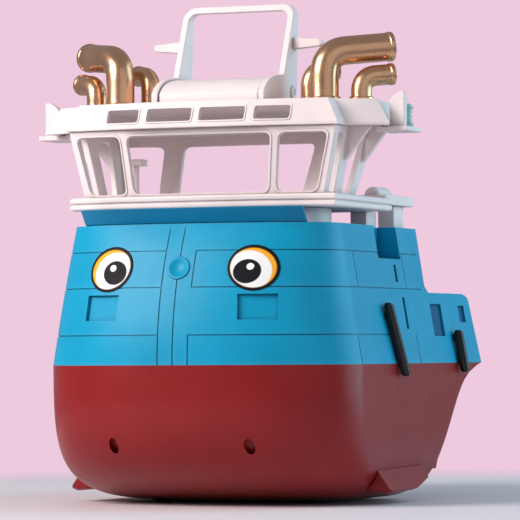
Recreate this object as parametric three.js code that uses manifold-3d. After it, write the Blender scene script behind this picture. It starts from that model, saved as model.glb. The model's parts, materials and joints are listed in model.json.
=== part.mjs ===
// Toy boat with a cartoon face, in mm: the bow faces -Y, port is +X, the floor is z = 0.
import * as THREE from "three";
import { mergeVertices } from "three/addons/utils/BufferGeometryUtils.js";
import Module from "manifold-3d";

const wasm = await Module();
wasm.setup();

// ---- driving dimensions -------------------------------------------------------------------
const HALF_BEAM = 84.7; // at the seam between the red and the blue hull
const HALF_LENGTH = 125; // from the origin of the hull form to the stem
const STERN_Y = 120.3;
const TRANSOM_CROWN = 1.2;
const BOW_DEPTH = 50; // length of the round bow ahead of the straight sides
const BOW_ROUNDNESS = 2.2; // exponent of the bow's superellipse: 2 is an ellipse
const STERN_RADIUS = 14;
const SEAM_Z = 72;
const RIM_Z = 143.5; // top of the high bulwark
const LOW_RIM_Z = 109.5; // top of the low bulwark round the aft deck
const KEEL_Z = 0.2; // where the round of the belly would close; its flat is a little higher
const STEP_Y = 34; // where the high bulwark ends
const HULL_WALL = 2.6;
const TUMBLEHOME = 0.17; // how fast the blue sides lean in, per mm of height
const BOW_LEAN = 19.7; // how far the stem has leant aft at the rim
const FORE_DECK_Z = 141.5;
const AFT_DECK_Z = 98;
const DECK_THICK = 2.4;

const PLATE_BOTTOM = 151.6; // wheelhouse base plate
const PLATE_TOP = 158.4;
const ROOF_BOTTOM = 192.8;
const ROOF_TOP = 206.6;
const WALL = 3; // wheelhouse wall

const WHEEL_R = 9;
const WHEEL_W = 8;
const WHEEL_X = 40;
const AXLE_R = 1.5;
const WHEEL_BORE_R = 1.52;
const AXLE_Y = [-42, 26];

const GAP = 0.3; // air left between neighbouring pieces in turned groups

const SIDES = { port: 1, starboard: -1 };

// ---- materials ----------------------------------------------------------------------------
const material = (color, roughness, metalness = 0) =>
  new THREE.MeshStandardMaterial({ color, roughness, metalness });
const BLUE = material(0x0b9bd0, 0.38);
const DARK_BLUE = material(0x1377b8, 0.4);
const RED = material(0x8a1f22, 0.42);
const WHITE = material(0xefe6e2, 0.5);
const GOLD = material(0xc8955c, 0.32, 1);
const BLACK = material(0x101012, 0.25);
const STEEL = material(0x9a9ca0, 0.3, 1);
const DARK_PLASTIC = material(0x2a2a2e, 0.6);
const LAMP = material(0xbfe9e4, 0.15);
const EYE_WHITE = material(0xf5f3ee, 0.3);

const root = new THREE.Group();
root.name = "toy_boat";

const AMIDSHIPS = (STERN_Y + TRANSOM_CROWN - HALF_LENGTH) / 2;
const boat = new THREE.Group();
boat.name = "boat";
boat.position.y = -AMIDSHIPS; // puts the origin midway between the stem and the transom
root.add(boat);

function add(name, geometry, mat, parent = boat) {
  const mesh = new THREE.Mesh(geometry, mat);
  mesh.name = name;
  parent.add(mesh);
  return mesh;
}

// ---- solids -------------------------------------------------------------------------------
function solid(geometry) {
  const bare = geometry.clone();
  bare.deleteAttribute("normal");
  bare.deleteAttribute("uv");
  const merged = mergeVertices(bare, 1e-4);
  return new wasm.Manifold(
    new wasm.Mesh({
      numProp: 3,
      vertProperties: merged.attributes.position.array,
      triVerts: new Uint32Array(merged.index.array),
    }),
  );
}

function geometryOf(manifold) {
  const mesh = manifold.getMesh();
  const geometry = new THREE.BufferGeometry();
  geometry.setAttribute("position", new THREE.BufferAttribute(mesh.vertProperties, 3));
  geometry.setIndex(new THREE.BufferAttribute(mesh.triVerts, 1));
  geometry.computeVertexNormals();
  return geometry;
}

const subtractAll = (body, cutters) => cutters.reduce((left, cutter) => left.subtract(cutter), body);
const addAll = (solids) => solids.reduce((left, right) => left.add(right));

// Skins a stack of rings, each a list of [x, y, z] with the same number of points, anticlockwise from above.
function loft(rings) {
  const n = rings[0].length;
  const positions = rings.flat(2);
  const index = [];
  rings.slice(1).forEach((_, k) => {
    for (let i = 0; i < n; i += 1) {
      const j = (i + 1) % n;
      const low = k * n;
      const high = low + n;
      index.push(low + i, low + j, high + j, low + i, high + j, high + i);
    }
  });
  const outline = (ring) => ring.map(([x, y]) => new THREE.Vector2(x, y));
  const top = (rings.length - 1) * n;
  THREE.ShapeUtils.triangulateShape(outline(rings[0]), []).forEach(([a, b, c]) => index.push(a, c, b));
  THREE.ShapeUtils.triangulateShape(outline(rings.at(-1)), []).forEach(([a, b, c]) =>
    index.push(top + a, top + b, top + c),
  );
  const geometry = new THREE.BufferGeometry();
  geometry.setAttribute("position", new THREE.Float32BufferAttribute(positions, 3));
  geometry.setIndex(index);
  return geometry;
}

// The same for upright rings, each anticlockwise in (x, z), listed from aft to fore.
function loftForward(rings) {
  const laidDown = rings.map((ring) => ring.map(([x, y, z]) => [x, z, -y]));
  return loft(laidDown).rotateX(Math.PI / 2);
}

// A box from its low corner to its high corner.
function box([x0, y0, z0], [x1, y1, z1]) {
  const geometry = new THREE.BoxGeometry(x1 - x0, y1 - y0, z1 - z0);
  return geometry.translate((x0 + x1) / 2, (y0 + y1) / 2, (z0 + z1) / 2);
}

// A rectangle with rounded corners, centred on the origin.
function roundedRectangle(width, height, radius) {
  const w = width / 2;
  const h = height / 2;
  const r = Math.min(radius, w, h);
  const shape = new THREE.Shape();
  shape.absarc(w - r, h - r, r, 0, Math.PI / 2);
  shape.absarc(-w + r, h - r, r, Math.PI / 2, Math.PI);
  shape.absarc(-w + r, -h + r, r, Math.PI, 1.5 * Math.PI);
  shape.absarc(w - r, -h + r, r, 1.5 * Math.PI, 2 * Math.PI);
  return shape;
}

function polygon(points, hole) {
  const shape = new THREE.Shape(points.map(([x, y]) => new THREE.Vector2(x, y)));
  if (hole) shape.holes.push(new THREE.Path(hole.map(([x, y]) => new THREE.Vector2(x, y))));
  return shape;
}

// Extrudes a shape drawn in (x, y) from z = 0 to depth.
const extrude = (shape, depth, curveSegments = 6) =>
  new THREE.ExtrudeGeometry(shape, { depth, curveSegments, bevelEnabled: false });

// Turns local x, y, z into y, z, x, so that what rose along z runs along x.
const ONTO_X = new THREE.Matrix4().makeBasis(
  new THREE.Vector3(0, 1, 0),
  new THREE.Vector3(0, 0, 1),
  new THREE.Vector3(1, 0, 0),
);

// Extrudes a shape drawn in (y, z) along x, centred on x.
const extrudeAcross = (shape, x, width, curveSegments = 6) =>
  extrude(shape, width, curveSegments)
    .applyMatrix4(ONTO_X)
    .translate(x - width / 2, 0, 0);

// Extrudes a shape drawn in (x, z) along y, centred on y.
const extrudeAlong = (shape, y, depth, curveSegments = 6) =>
  extrude(shape, depth, curveSegments)
    .rotateX(Math.PI / 2)
    .translate(0, y + depth / 2, 0);

// A cylinder from one point to another.
function rod(from, to, radius, segments = 20) {
  const start = new THREE.Vector3(...from);
  const end = new THREE.Vector3(...to);
  const axis = end.clone().sub(start);
  const geometry = new THREE.CylinderGeometry(radius, radius, axis.length(), segments);
  geometry.applyQuaternion(
    new THREE.Quaternion().setFromUnitVectors(new THREE.Vector3(0, 1, 0), axis.clone().normalize()),
  );
  return geometry.translate(...start.add(end).multiplyScalar(0.5).toArray());
}

// Turns a lathe profile of [radius, height] round z.
const turned = (profile, segments = 24) =>
  new THREE.LatheGeometry(profile.map(([r, h]) => new THREE.Vector2(r, h)), segments).rotateX(Math.PI / 2);

// ---- hull form ----------------------------------------------------------------------------
// Port half of the plan at the seam, from the stem round to the middle of the transom.
function planOfHull() {
  const points = [];
  const bowSteps = 12;
  const shoulder = -HALF_LENGTH + BOW_DEPTH;
  for (let i = 0; i <= bowSteps; i += 1) {
    const angle = (i / bowSteps) * (Math.PI / 2);
    points.push([
      HALF_BEAM * Math.sin(angle) ** (2 / BOW_ROUNDNESS),
      shoulder - BOW_DEPTH * Math.cos(angle) ** (2 / BOW_ROUNDNESS),
    ]);
  }
  const cornerY = STERN_Y - STERN_RADIUS;
  const straights = 6;
  for (let i = 1; i < straights; i += 1) {
    points.push([HALF_BEAM, shoulder + ((cornerY - shoulder) * i) / straights]);
  }
  const cornerSteps = 4;
  for (let i = 0; i <= cornerSteps; i += 1) {
    const angle = (i / cornerSteps) * (Math.PI / 2);
    points.push([
      HALF_BEAM - STERN_RADIUS * (1 - Math.cos(angle)),
      cornerY + STERN_RADIUS * Math.sin(angle),
    ]);
  }
  points.push([HALF_BEAM / 3, STERN_Y + 0.8 * TRANSOM_CROWN], [0, STERN_Y + TRANSOM_CROWN]);
  return points;
}
const PLAN = planOfHull();

// The stern overhangs: it steps forward just under the seam, then slopes on towards the keel.
const COUNTER = { step: 28, blend: 5, slope: 1.02 };

// How far below the seam a superellipse of this exponent has drawn in, as a scale from 1 to 0.
const drawIn = (depth, exponent) => (1 - depth ** exponent) ** (1 / exponent);

// Moves a plan point to height z, shrunk inwards by the wall inset.
function hullPoint([x, y], z, inset) {
  let acrossScale = 1;
  let along = y;
  if (z >= SEAM_Z) {
    const rise = z - SEAM_Z;
    const lean = BOW_LEAN * (rise / (RIM_Z - SEAM_Z)) ** 2;
    const bowward = Math.max(0, (-y - 60) / (HALF_LENGTH - 60)) ** 2;
    acrossScale = 1 - (TUMBLEHOME * rise) / HALF_BEAM;
    along = y < 0 ? y + lean * bowward : y * (1 - (TUMBLEHOME * rise) / HALF_LENGTH);
  } else {
    const drop = SEAM_Z - z;
    const depth = Math.min(1, drop / (SEAM_Z - KEEL_Z));
    const counter = COUNTER.step * (1 - Math.exp(-drop / COUNTER.blend)) + COUNTER.slope * drop;
    acrossScale = drawIn(depth, 6.5);
    along = y < 0 ? y * drawIn(depth, 3.1) : y * (1 - counter / HALF_LENGTH);
  }
  return [
    x * acrossScale * (1 - inset / HALF_BEAM),
    along * (1 - inset / HALF_LENGTH),
    z,
  ];
}

function hullRing(z, inset = 0) {
  const port = PLAN.map((point) => hullPoint(point, z, inset));
  const starboard = port.slice(1, -1).map(([x, y, height]) => [-x, y, height]);
  return [...port, ...starboard.reverse()];
}

// Half-breadth of the blue sides at height z, along the straight part.
const sideX = (z) => HALF_BEAM - TUMBLEHOME * (z - SEAM_Z);

// Depths at which the red hull is sectioned: close together round the bilge.
const RED_DEPTHS = [0.985, 0.95, 0.9, 0.83, 0.74, 0.62, 0.46, 0.28, 0.14, 0.06, 0.02];

function redForm(inset, topZ) {
  const depthOf = SEAM_Z - KEEL_Z;
  const levels = RED_DEPTHS.map((d) => SEAM_Z - d * depthOf);
  const rings = levels.map((z) => hullRing(z, inset).map(([x, y, h]) => [x, y, h + (inset > 0 ? 2.4 : 0)]));
  rings.push(hullRing(SEAM_Z, inset).map(([x, y]) => [x, y, topZ]));
  return solid(loft(rings));
}

const RED_OUTSIDE = redForm(0, SEAM_Z);

// ---- red hull, with wells for the running wheels and the two thruster tunnels -------------
const THRUSTER_WELL = { x: 37.1, y: -112, z: 31.3, halfWidth: 2.75, halfHeight: 4, depth: 1.6 };

function hullBottom() {
  const wellFloor = redForm(THRUSTER_WELL.depth, SEAM_Z + 4);
  let hull = RED_OUTSIDE.subtract(redForm(HULL_WALL, SEAM_Z + 4));
  const bearing = { halfWidth: WHEEL_W / 2 + 4, halfLength: WHEEL_R + 4, top: 22 };
  const wells = [];
  const blocks = [];
  AXLE_Y.forEach((y) =>
    Object.values(SIDES).forEach((side) => {
      const x = side * WHEEL_X;
      blocks.push(
        solid(
          box(
            [x - bearing.halfWidth, y - bearing.halfLength, KEEL_Z + 1.2],
            [x + bearing.halfWidth, y + bearing.halfLength, bearing.top],
          ),
        ),
      );
      wells.push(
        solid(
          box(
            [x - WHEEL_W / 2 - 1, y - WHEEL_R - 1.5, -1],
            [x + WHEEL_W / 2 + 1, y + WHEEL_R + 1.5, bearing.top - 2],
          ),
        ),
      );
    }),
  );
  hull = addAll([hull, ...blocks.map((block) => block.intersect(RED_OUTSIDE))]);
  const reach = WHEEL_X + bearing.halfWidth - 1.5;
  const bores = AXLE_Y.map((y) => solid(rod([-reach, y, WHEEL_R], [reach, y, WHEEL_R], AXLE_R + 0.06, 24)));
  const thrusters = Object.values(SIDES).map((side) => {
    const { x, y, z, halfWidth, halfHeight } = THRUSTER_WELL;
    const well = new THREE.CylinderGeometry(1, 1, 30, 20).scale(halfWidth, 1, halfHeight);
    return solid(well.translate(side * x, y, z)).subtract(wellFloor);
  });
  hull = subtractAll(hull, [...wells, ...bores, ...thrusters]);
  return geometryOf(hull);
}

// ---- blue hull: a shell with engraved strakes, a gate, and recesses -----------------------
const STRAKES_Z = [87, 111, 129.5];
const BOW_BAND = 8.2; // half-width of the plain band up the stem, where the strakes stop

function blueForm(inset, bottomZ = SEAM_Z, topZ = RIM_Z) {
  const levels = [SEAM_Z, 98, 120, 132, RIM_Z];
  const rings = levels.map((z) => hullRing(z, inset));
  rings[0] = rings[0].map(([x, y]) => [x, y, bottomZ]);
  rings.at(-1).forEach((point) => (point[2] = topZ));
  return solid(loft(rings));
}
const BLUE_OUTSIDE = blueForm(0);

// Cuts only as deep as `depth` below the skin, whatever the cutter's shape.
const engraver = (depth) => {
  const core = blueForm(depth, SEAM_Z - 1, RIM_Z + 1);
  return (geometry) => solid(geometry).subtract(core);
};

// A boarding niche in each high bulwark, open above and outboard.
const NICHE = { x: 60.4, y0: -30, y1: 3.5, z0: 126.6, wall: 2.4 };

function nicheBlock(side) {
  const { x, y0, y1, z0, wall } = NICHE;
  const [x0, x1] = [side * x, side * 90].sort((a, b) => a - b);
  return solid(box([x0, y0 - wall, z0 - wall], [x1, y1 + wall, RIM_Z]));
}

function hullTop() {
  const shell = BLUE_OUTSIDE.subtract(blueForm(HULL_WALL, SEAM_Z - 1, RIM_Z + 1));
  const bulkhead = solid(box([-90, STEP_Y - HULL_WALL, 92], [90, STEP_Y, RIM_Z - 3])).intersect(BLUE_OUTSIDE);
  const aftCut = polygon([
    [STEP_Y + 1.5, RIM_Z + 5],
    [STEP_Y + 0.5, 113],
    [STEP_Y + 5, LOW_RIM_Z],
    [94, LOW_RIM_Z],
    [99, LOW_RIM_Z - 0.8],
    [103, LOW_RIM_Z - 2.3],
    [106, LOW_RIM_Z - 4.6],
    [108, LOW_RIM_Z - 7],
    [HALF_LENGTH + 20, LOW_RIM_Z - 7],
    [HALF_LENGTH + 20, RIM_Z + 5],
  ]);
  const cutters = [solid(extrudeAcross(aftCut, 0, 200))];

  const line = engraver(0.5);
  STRAKES_Z.forEach((z) => {
    const aftEnd = z > LOW_RIM_Z ? STEP_Y - 6 : -24;
    Object.values(SIDES).forEach((side) => {
      const [x0, x1] = [side * BOW_BAND, side * 100].sort((a, b) => a - b);
      cutters.push(line(box([x0, -HALF_LENGTH - 5, z - 0.35], [x1, aftEnd, z + 0.35])));
    });
  });
  const bowLines = [
    [-BOW_BAND, SEAM_Z - 1, RIM_Z + 5],
    [0, SEAM_Z - 1, RIM_Z + 5],
    [BOW_BAND, SEAM_Z - 1, STRAKES_Z[0]],
    [BOW_BAND, STRAKES_Z[1], STRAKES_Z[2]],
  ];
  bowLines.forEach(([x, z0, z1]) =>
    cutters.push(line(box([x - 0.35, -HALF_LENGTH - 5, z0], [x + 0.35, -60, z1]))),
  );
  const seams = [
    [-67, STRAKES_Z[1], STRAKES_Z[2]],
    [5.6, STRAKES_Z[1], STRAKES_Z[2]],
    [-79, SEAM_Z - 1, STRAKES_Z[0]],
    [9, SEAM_Z - 1, STRAKES_Z[0]],
  ];
  seams.forEach(([y, z0, z1]) => cutters.push(line(box([-100, y - 0.35, z0], [100, y + 0.35, z1]))));

  const pocket = engraver(1.6);
  const pockets = [
    [38, 55.5, 86.4, 103.5],
    [83.5, 93.5, 94, 103],
    [-3.8, -0.6, 90, 106.5],
    [-9, -5.8, 114.5, 123.5],
  ];
  pockets.forEach(([y0, y1, z0, z1]) => cutters.push(pocket(box([-100, y0, z0], [100, y1, z1]))));
  const { x, y0, y1, z0, wall } = NICHE;
  const blocks = Object.values(SIDES).map((side) => {
    const block = nicheBlock(side).intersect(BLUE_OUTSIDE);
    const room = [side * (x + wall), side * 100].sort((a, b) => a - b);
    cutters.push(solid(box([room[0], y0, z0], [room[1], y1, RIM_Z + 5])));
    return block;
  });

  const scoop = polygon([
    [-6, 107.5],
    [2.6, 107.5],
    [0, 94.6],
    [-6, 94.6],
  ]);
  Object.values(SIDES).forEach((side) => {
    const wedge = extrudeAcross(scoop, 0, 20.4).rotateZ(side * 0.32);
    cutters.push(solid(wedge.translate(side * 42.4, -115.2, 0)));
    cutters.push(solid(bowButtonSeat()));
  });
  const hull = subtractAll(addAll([shell, bulkhead, ...blocks]), cutters);
  return geometryOf(hull);
}

// ---- bow button: a dished disc set square to the leaning stem -----------------------------
const BUTTON = { r: 6.1, dish: 5, thick: 2.4, y: -115.4, z: 120.6, tilt: 0.37 };
const onButton = (geometry) => geometry.rotateX(Math.PI / 2 - BUTTON.tilt).translate(0, BUTTON.y, BUTTON.z);

function bowButtonSeat() {
  const height = BUTTON.thick + 6;
  const seat = new THREE.CylinderGeometry(BUTTON.r + 0.1, BUTTON.r + 0.1, height, 32).rotateX(Math.PI / 2);
  return onButton(seat.translate(0, 0, height / 2 - 1.4));
}

const bowButton = () =>
  onButton(
    turned(
      [
        [0, -1.3],
        [BUTTON.r, -1.3],
        [BUTTON.r, 0.7],
        [BUTTON.r - 0.4, 1.1],
        [BUTTON.dish, 1.1],
        [BUTTON.dish * 0.7, 0.1],
        [0, -0.3],
      ],
      32,
    ),
  );

// ---- cartoon eyes: thin oval pads that follow the bow -------------------------------------
const EYE = { x: 38.9, z: 120.6, halfWidth: 13.1, halfHeight: 11.4, tilt: 0.3, thick: 0.5 };

function eyePad(side) {
  const oval = new THREE.Shape();
  oval.absellipse(0, 0, EYE.halfWidth, EYE.halfHeight, 0, 2 * Math.PI, false, -side * EYE.tilt);
  const prism = extrudeAlong(oval, -105, 40, 14).translate(side * EYE.x, 0, EYE.z);
  const skin = blueForm(-EYE.thick, SEAM_Z - 1, RIM_Z + 1).subtract(BLUE_OUTSIDE);
  return geometryOf(solid(prism).intersect(skin));
}

// ---- bow visor: a flared bulwark that follows the rim -------------------------------------
const VISOR = { halfWidth: 61, z0: RIM_Z + 0.1, z1: 151.4, flare: 6.4, thick: 2.4, steps: 16 };

function rimPoint(x, z) {
  const across = 1 - (TUMBLEHOME * (z - SEAM_Z)) / HALF_BEAM;
  const seamX = Math.min(1, Math.abs(x) / across / HALF_BEAM);
  const seamY = -HALF_LENGTH + BOW_DEPTH * (1 - (1 - seamX ** BOW_ROUNDNESS) ** (1 / BOW_ROUNDNESS));
  const [, y] = hullPoint([0, seamY], z, 0);
  return [x, y];
}

function bowVisor() {
  const xs = Array.from({ length: VISOR.steps + 1 }, (_, i) => VISOR.halfWidth * ((2 * i) / VISOR.steps - 1));
  const ring = (z, flare) => {
    const outer = xs.map((x) => rimPoint(x, RIM_Z)).map(([x, y]) => [x, y - flare + 0.4, z]);
    const inner = outer.map(([x, y]) => [x, y + VISOR.thick, z]);
    return [...outer, ...inner.reverse()];
  };
  return loft([ring(VISOR.z0, 0), ring(VISOR.z1, VISOR.flare)]);
}

// ---- decks --------------------------------------------------------------------------------
// Air between a deck's edge and the hull wall. It is wider at the top, because the wall leans in above.
const DECK_AIR = { bottom: 0.1, top: 0.7 };

function deckPlate(topZ, y0, y1) {
  const rings = [
    hullRing(topZ - DECK_THICK, HULL_WALL + DECK_AIR.bottom),
    hullRing(topZ, HULL_WALL + DECK_AIR.top),
  ];
  const plate = solid(loft(rings)).intersect(solid(box([-90, y0, 0], [90, y1, 200])));
  return geometryOf(subtractAll(plate, Object.values(SIDES).map(nicheBlock)));
}

// ---- fenders, bilge fins and stern skegs --------------------------------------------------
const FENDER = { halfWidth: 2.6, deep: 4.4, standOff: 1.3, tip: 1.4, tipShrink: 0.6 };

// Outline of the bar seen end on, as shares of its half-width and of how far it stands out.
const FENDER_SECTION = [
  [-1, 0],
  [1, 0],
  [1, 0.6],
  [0.55, 1],
  [-0.55, 1],
  [-1, 0.6],
];

// A bar from its foot to its top, standing off the side on two pads.
function fender(side, top, foot) {
  const face = (z) => sideX(Math.max(z, SEAM_Z)) + FENDER.standOff;
  const yAt = (z) => foot.y + ((top.y - foot.y) * (z - foot.z)) / (top.z - foot.z);
  const ring = (z, size) =>
    FENDER_SECTION.map(([u, v]) => [
      face(z) + FENDER.deep * (v * size + (1 - size) / 2),
      yAt(z) - u * FENDER.halfWidth * size,
      z,
    ]);
  const bar = loft([
    ring(foot.z, FENDER.tipShrink),
    ring(foot.z + FENDER.tip, 1),
    ring(top.z - FENDER.tip, 1),
    ring(top.z, FENDER.tipShrink),
  ]);
  const pad = (share) => {
    const z = foot.z + (top.z - foot.z) * share;
    const y = yAt(z);
    return solid(box([face(z) - 3, y - 1.4, z - 2], [face(z) + 1, y + 1.4, z + 2]));
  };
  return mirrored(addAll([solid(bar), pad(0.28), pad(0.82)]), side, [BLUE_OUTSIDE, RED_OUTSIDE]);
}

// Keeps a port solid, or turns it into its starboard twin, then cuts it to fit what it sits against.
function mirrored(manifold, side, neighbours = []) {
  const placed = side > 0 ? manifold : manifold.scale([-1, 1, 1]);
  return geometryOf(subtractAll(placed, neighbours));
}

function bilgeFin(side) {
  const section = [
    [72, 7],
    [87, 5.8],
    [90.4, 7.2],
    [82, 19],
    [70, 17],
  ];
  const at = (y, spread, lift) => section.map(([x, z]) => [x * spread, y, z + lift]);
  const fin = solid(loftForward([at(12, 0.97, 5), at(-12, 1, 0.6), at(-50, 1, 0), at(-53, 0.985, 1.2)]));
  return mirrored(fin, side, [RED_OUTSIDE]);
}

function sternSkeg(side) {
  const outline = polygon([
    [66, 56],
    [90, 60],
    [93, 20],
    [89, 14],
    [76, 15],
    [60, 34],
  ]);
  const skeg = solid(extrudeAcross(outline, 62, 5.5));
  return mirrored(skeg, side, [RED_OUTSIDE]);
}

// ---- deckhouse, platform and what stands on it --------------------------------------------
const PLATE = [
  [0, -92.2],
  [40, -91.6],
  [73.5, -87],
  [73.5, -3],
  [0, -3],
];
const isForward = (y) => y < -50;
const scaled = (outline, shrink) =>
  outline.map(([x, y]) => [Math.max(0, x - shrink), isForward(y) ? y + shrink : y]);
const closed = (outline) => [...outline, ...outline.slice(1, -1).reverse().map(([x, y]) => [-x, y])];
const level = (outline, z) => closed(outline).map(([x, y]) => [x, y, z]);

function wheelhouseBase() {
  const edge = 1.1;
  const middle = (PLATE_BOTTOM + PLATE_TOP) / 2;
  const slim = scaled(PLATE, edge);
  return loft([
    level(slim, PLATE_BOTTOM),
    level(PLATE, PLATE_BOTTOM + 0.8),
    level(PLATE, middle - 0.6),
    level(slim, middle),
    level(PLATE, middle + 0.6),
    level(PLATE, PLATE_TOP - 0.8),
    level(slim, PLATE_TOP),
  ]);
}

function deckhouse() {
  const width = 124;
  const y0 = -84;
  const y1 = -50;
  const outside = roundedRectangle(width, y1 - y0, 15);
  outside.holes.push(roundedRectangle(width - 5, y1 - y0 - 5, 12.5));
  return extrude(outside, PLATE_BOTTOM - FORE_DECK_Z, 5).translate(0, (y0 + y1) / 2, FORE_DECK_Z);
}

const BOAT_DECK_TOP = 160.6;
const BOAT_DECK_BOTTOM = PLATE_TOP - 3;

// What holds the base plate and the boat deck up off the fore deck, as opposite corners.
const DECK_COLUMN = [
  [51, -6, FORE_DECK_Z],
  [60, 9, PLATE_BOTTOM],
];
const DECK_POST = [
  [58.4, 16, FORE_DECK_Z],
  [67.4, 31.2, BOAT_DECK_BOTTOM],
];

function boatDeck() {
  const half = 70;
  const slab = roundedRectangle(2 * half, 44, 3);
  const well = roundedRectangle(2 * half - 26, 30, 3);
  slab.holes.push(well);
  return extrude(slab, BOAT_DECK_TOP - BOAT_DECK_BOTTOM, 3).translate(0, 19.1, BOAT_DECK_BOTTOM);
}

// A low rounded canister lying on the boat deck.
const CANISTER = { r: 4.6, length: 22, x: 60, y: 13 };

function canister(side) {
  const { r, length } = CANISTER;
  const profile = [
    [0, 0],
    [r * 0.7, 0],
    [r * 0.94, 0.9],
    [r, 2.2],
    [r, length - 2.2],
    [r * 0.94, length - 0.9],
    [r * 0.7, length],
    [0, length],
  ];
  const body = turned(profile, 20).rotateX(Math.PI / 2);
  const placed = solid(body.translate(side * CANISTER.x, CANISTER.y + length / 2, BOAT_DECK_TOP));
  return geometryOf(placed.trimByPlane([0, 0, 1], BOAT_DECK_TOP));
}

function helmStand() {
  const x = -50;
  const y = -55;
  const post = solid(rod([x, y, PLATE_TOP], [x, y, 177], 1.5, 16));
  const desk = solid(box([x - 4.6, y - 4, 176], [x + 4.6, y + 4, 179.4]));
  const foot = solid(rod([x, y, PLATE_TOP], [x, y, PLATE_TOP + 1.4], 4, 20));
  return geometryOf(addAll([post, desk, foot]));
}

// ---- wheelhouse: raked walls with open windows, and knees out to the wings ----------------
const WALL_FOOT = [
  [0, -87.6],
  [38, -87.2],
  [66.5, -84],
  [66.5, -40],
  [40, -33],
  [0, -33],
];
const WALL_HEAD = [
  [0, -91.6],
  [41, -91.2],
  [74, -87],
  [74, -28],
  [43, -15],
  [0, -15],
];

function insetOutline(outline, amount) {
  const middleY = (outline[0][1] + outline.at(-1)[1]) / 2;
  const halfDepth = Math.abs(outline[0][1] - middleY);
  const halfWidth = Math.max(...outline.map(([x]) => x));
  return outline.map(([x, y]) => [
    x * (1 - amount / halfWidth),
    middleY + (y - middleY) * (1 - amount / halfDepth),
  ]);
}

// Upright outline of a raked window: half-widths at foot and head about a slanted middle.
function windowShape([foot0, foot1], [head0, head1], z0, z1, radius) {
  const corners = [
    [foot0, z0],
    [foot1, z0],
    [head1, z1],
    [head0, z1],
  ].map(([x, z]) => new THREE.Vector2(x, z));
  const shape = new THREE.Shape();
  corners.forEach((corner, i) => {
    const before = corners[(i + 3) % 4];
    const after = corners[(i + 1) % 4];
    const start = corner.clone().lerp(before, radius / corner.distanceTo(before));
    const end = corner.clone().lerp(after, radius / corner.distanceTo(after));
    if (i === 0) shape.moveTo(start.x, start.y);
    else shape.lineTo(start.x, start.y);
    shape.quadraticCurveTo(corner.x, corner.y, end.x, end.y);
  });
  shape.closePath();
  return shape;
}

const WINDOW_FOOT = 159.6;
const WINDOW_HEAD = 189.4;
const FRONT_WINDOWS = [
  { foot: [-37, 37], head: [-40, 40] },
  { foot: [41.2, 62.5], head: [44, 69.8] },
  { foot: [-62.5, -41.2], head: [-69.8, -44] },
];

function wheelhouse() {
  const z0 = PLATE_TOP;
  const z1 = ROOF_BOTTOM;
  const outside = solid(loft([level(WALL_FOOT, z0), level(WALL_HEAD, z1)]));
  const inFoot = insetOutline(WALL_FOOT, WALL);
  const inHead = insetOutline(WALL_HEAD, WALL);
  const inside = solid(loft([level(inFoot, z0 - 0.01), level(inHead, z1 + 0.01)]));
  const openings = [];
  FRONT_WINDOWS.forEach(({ foot, head }) => {
    const pane = windowShape(foot, head, WINDOW_FOOT, WINDOW_HEAD, 4);
    openings.push(solid(extrudeAlong(pane, -86, 24, 5)));
  });
  const rearWindows = [
    { foot: [-35, 35], head: [-37.5, 37.5] },
    { foot: [45, 61.5], head: [47.5, 68] },
    { foot: [-61.5, -45], head: [-68, -47.5] },
  ];
  rearWindows.forEach(({ foot, head }) => {
    const pane = windowShape(foot, head, WINDOW_FOOT, WINDOW_HEAD - 2, 4);
    openings.push(solid(extrudeAlong(pane, -28, 44, 5)));
  });
  const sideWindows = [
    { foot: [-78.5, -71], head: [-80, -72.5], radius: 1.2 },
    { foot: [-60.5, -48], head: [-60.5, -42], radius: 4 },
  ];
  sideWindows.forEach(({ foot, head, radius }) => {
    const pane = windowShape(foot, head, WINDOW_FOOT, WINDOW_HEAD, radius);
    openings.push(solid(extrudeAcross(pane, 0, 200, 5)));
  });
  const shell = subtractAll(outside.subtract(inside), openings);
  const knee = windowKnee();
  return geometryOf(addAll([shell, ...knee]));
}

// Brackets that spread from the side posts to the underside of the bridge wings.
function windowKnee() {
  const outline = polygon([
    [67.5, 176],
    [72, 176],
    [83, ROOF_BOTTOM - 2.8],
    [85.5, ROOF_BOTTOM],
    [71, ROOF_BOTTOM],
  ]);
  return [-65.5, -40].flatMap((y) => {
    const bracket = solid(extrudeAlong(outline, y, 3.4));
    return [bracket, bracket.scale([-1, 1, 1])];
  });
}

// ---- roof: a hollow, sloping-sided cap with bridge wings and four skylights ---------------
const ROOF_FOOT = [
  [0, -96],
  [29.8, -95.5],
  [75.6, -88.6],
  [76.5, -14],
  [46, 0],
  [0, 0],
];
const ROOF_HEAD = [
  [0, -90.8],
  [27.6, -90.3],
  [69, -84.5],
  [70, -18],
  [43, -5],
  [0, -5],
];
const WING_FOOT = [
  [60, -86],
  [75.6, -79.5],
  [96.2, -68.8],
  [90.6, -58],
  [88.5, -30],
  [60, -27],
];
const WING_HEAD = [
  [60, -80],
  [70.4, -75.5],
  [88.6, -65.6],
  [84.8, -57],
  [83.4, -34],
  [60, -31],
];
const ROOF_SKIN = 2.4;
const SKYLIGHTS = [
  [2.2, 27],
  [32, 50.5],
];

// Draws an outline in towards a point inside it.
function drawnIn(outline, amount) {
  const total = outline.reduce(([sumX, sumY], [x, y]) => [sumX + x, sumY + y], [0, 0]);
  const centre = total.map((sum) => sum / outline.length);
  return outline.map(([x, y]) => {
    const reach = Math.hypot(x - centre[0], y - centre[1]);
    const scale = 1 - (amount * 1.25) / reach;
    return [centre[0] + (x - centre[0]) * scale, centre[1] + (y - centre[1]) * scale];
  });
}
const flat = (outline, z) => outline.map(([x, y]) => [x, y, z]);

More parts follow.
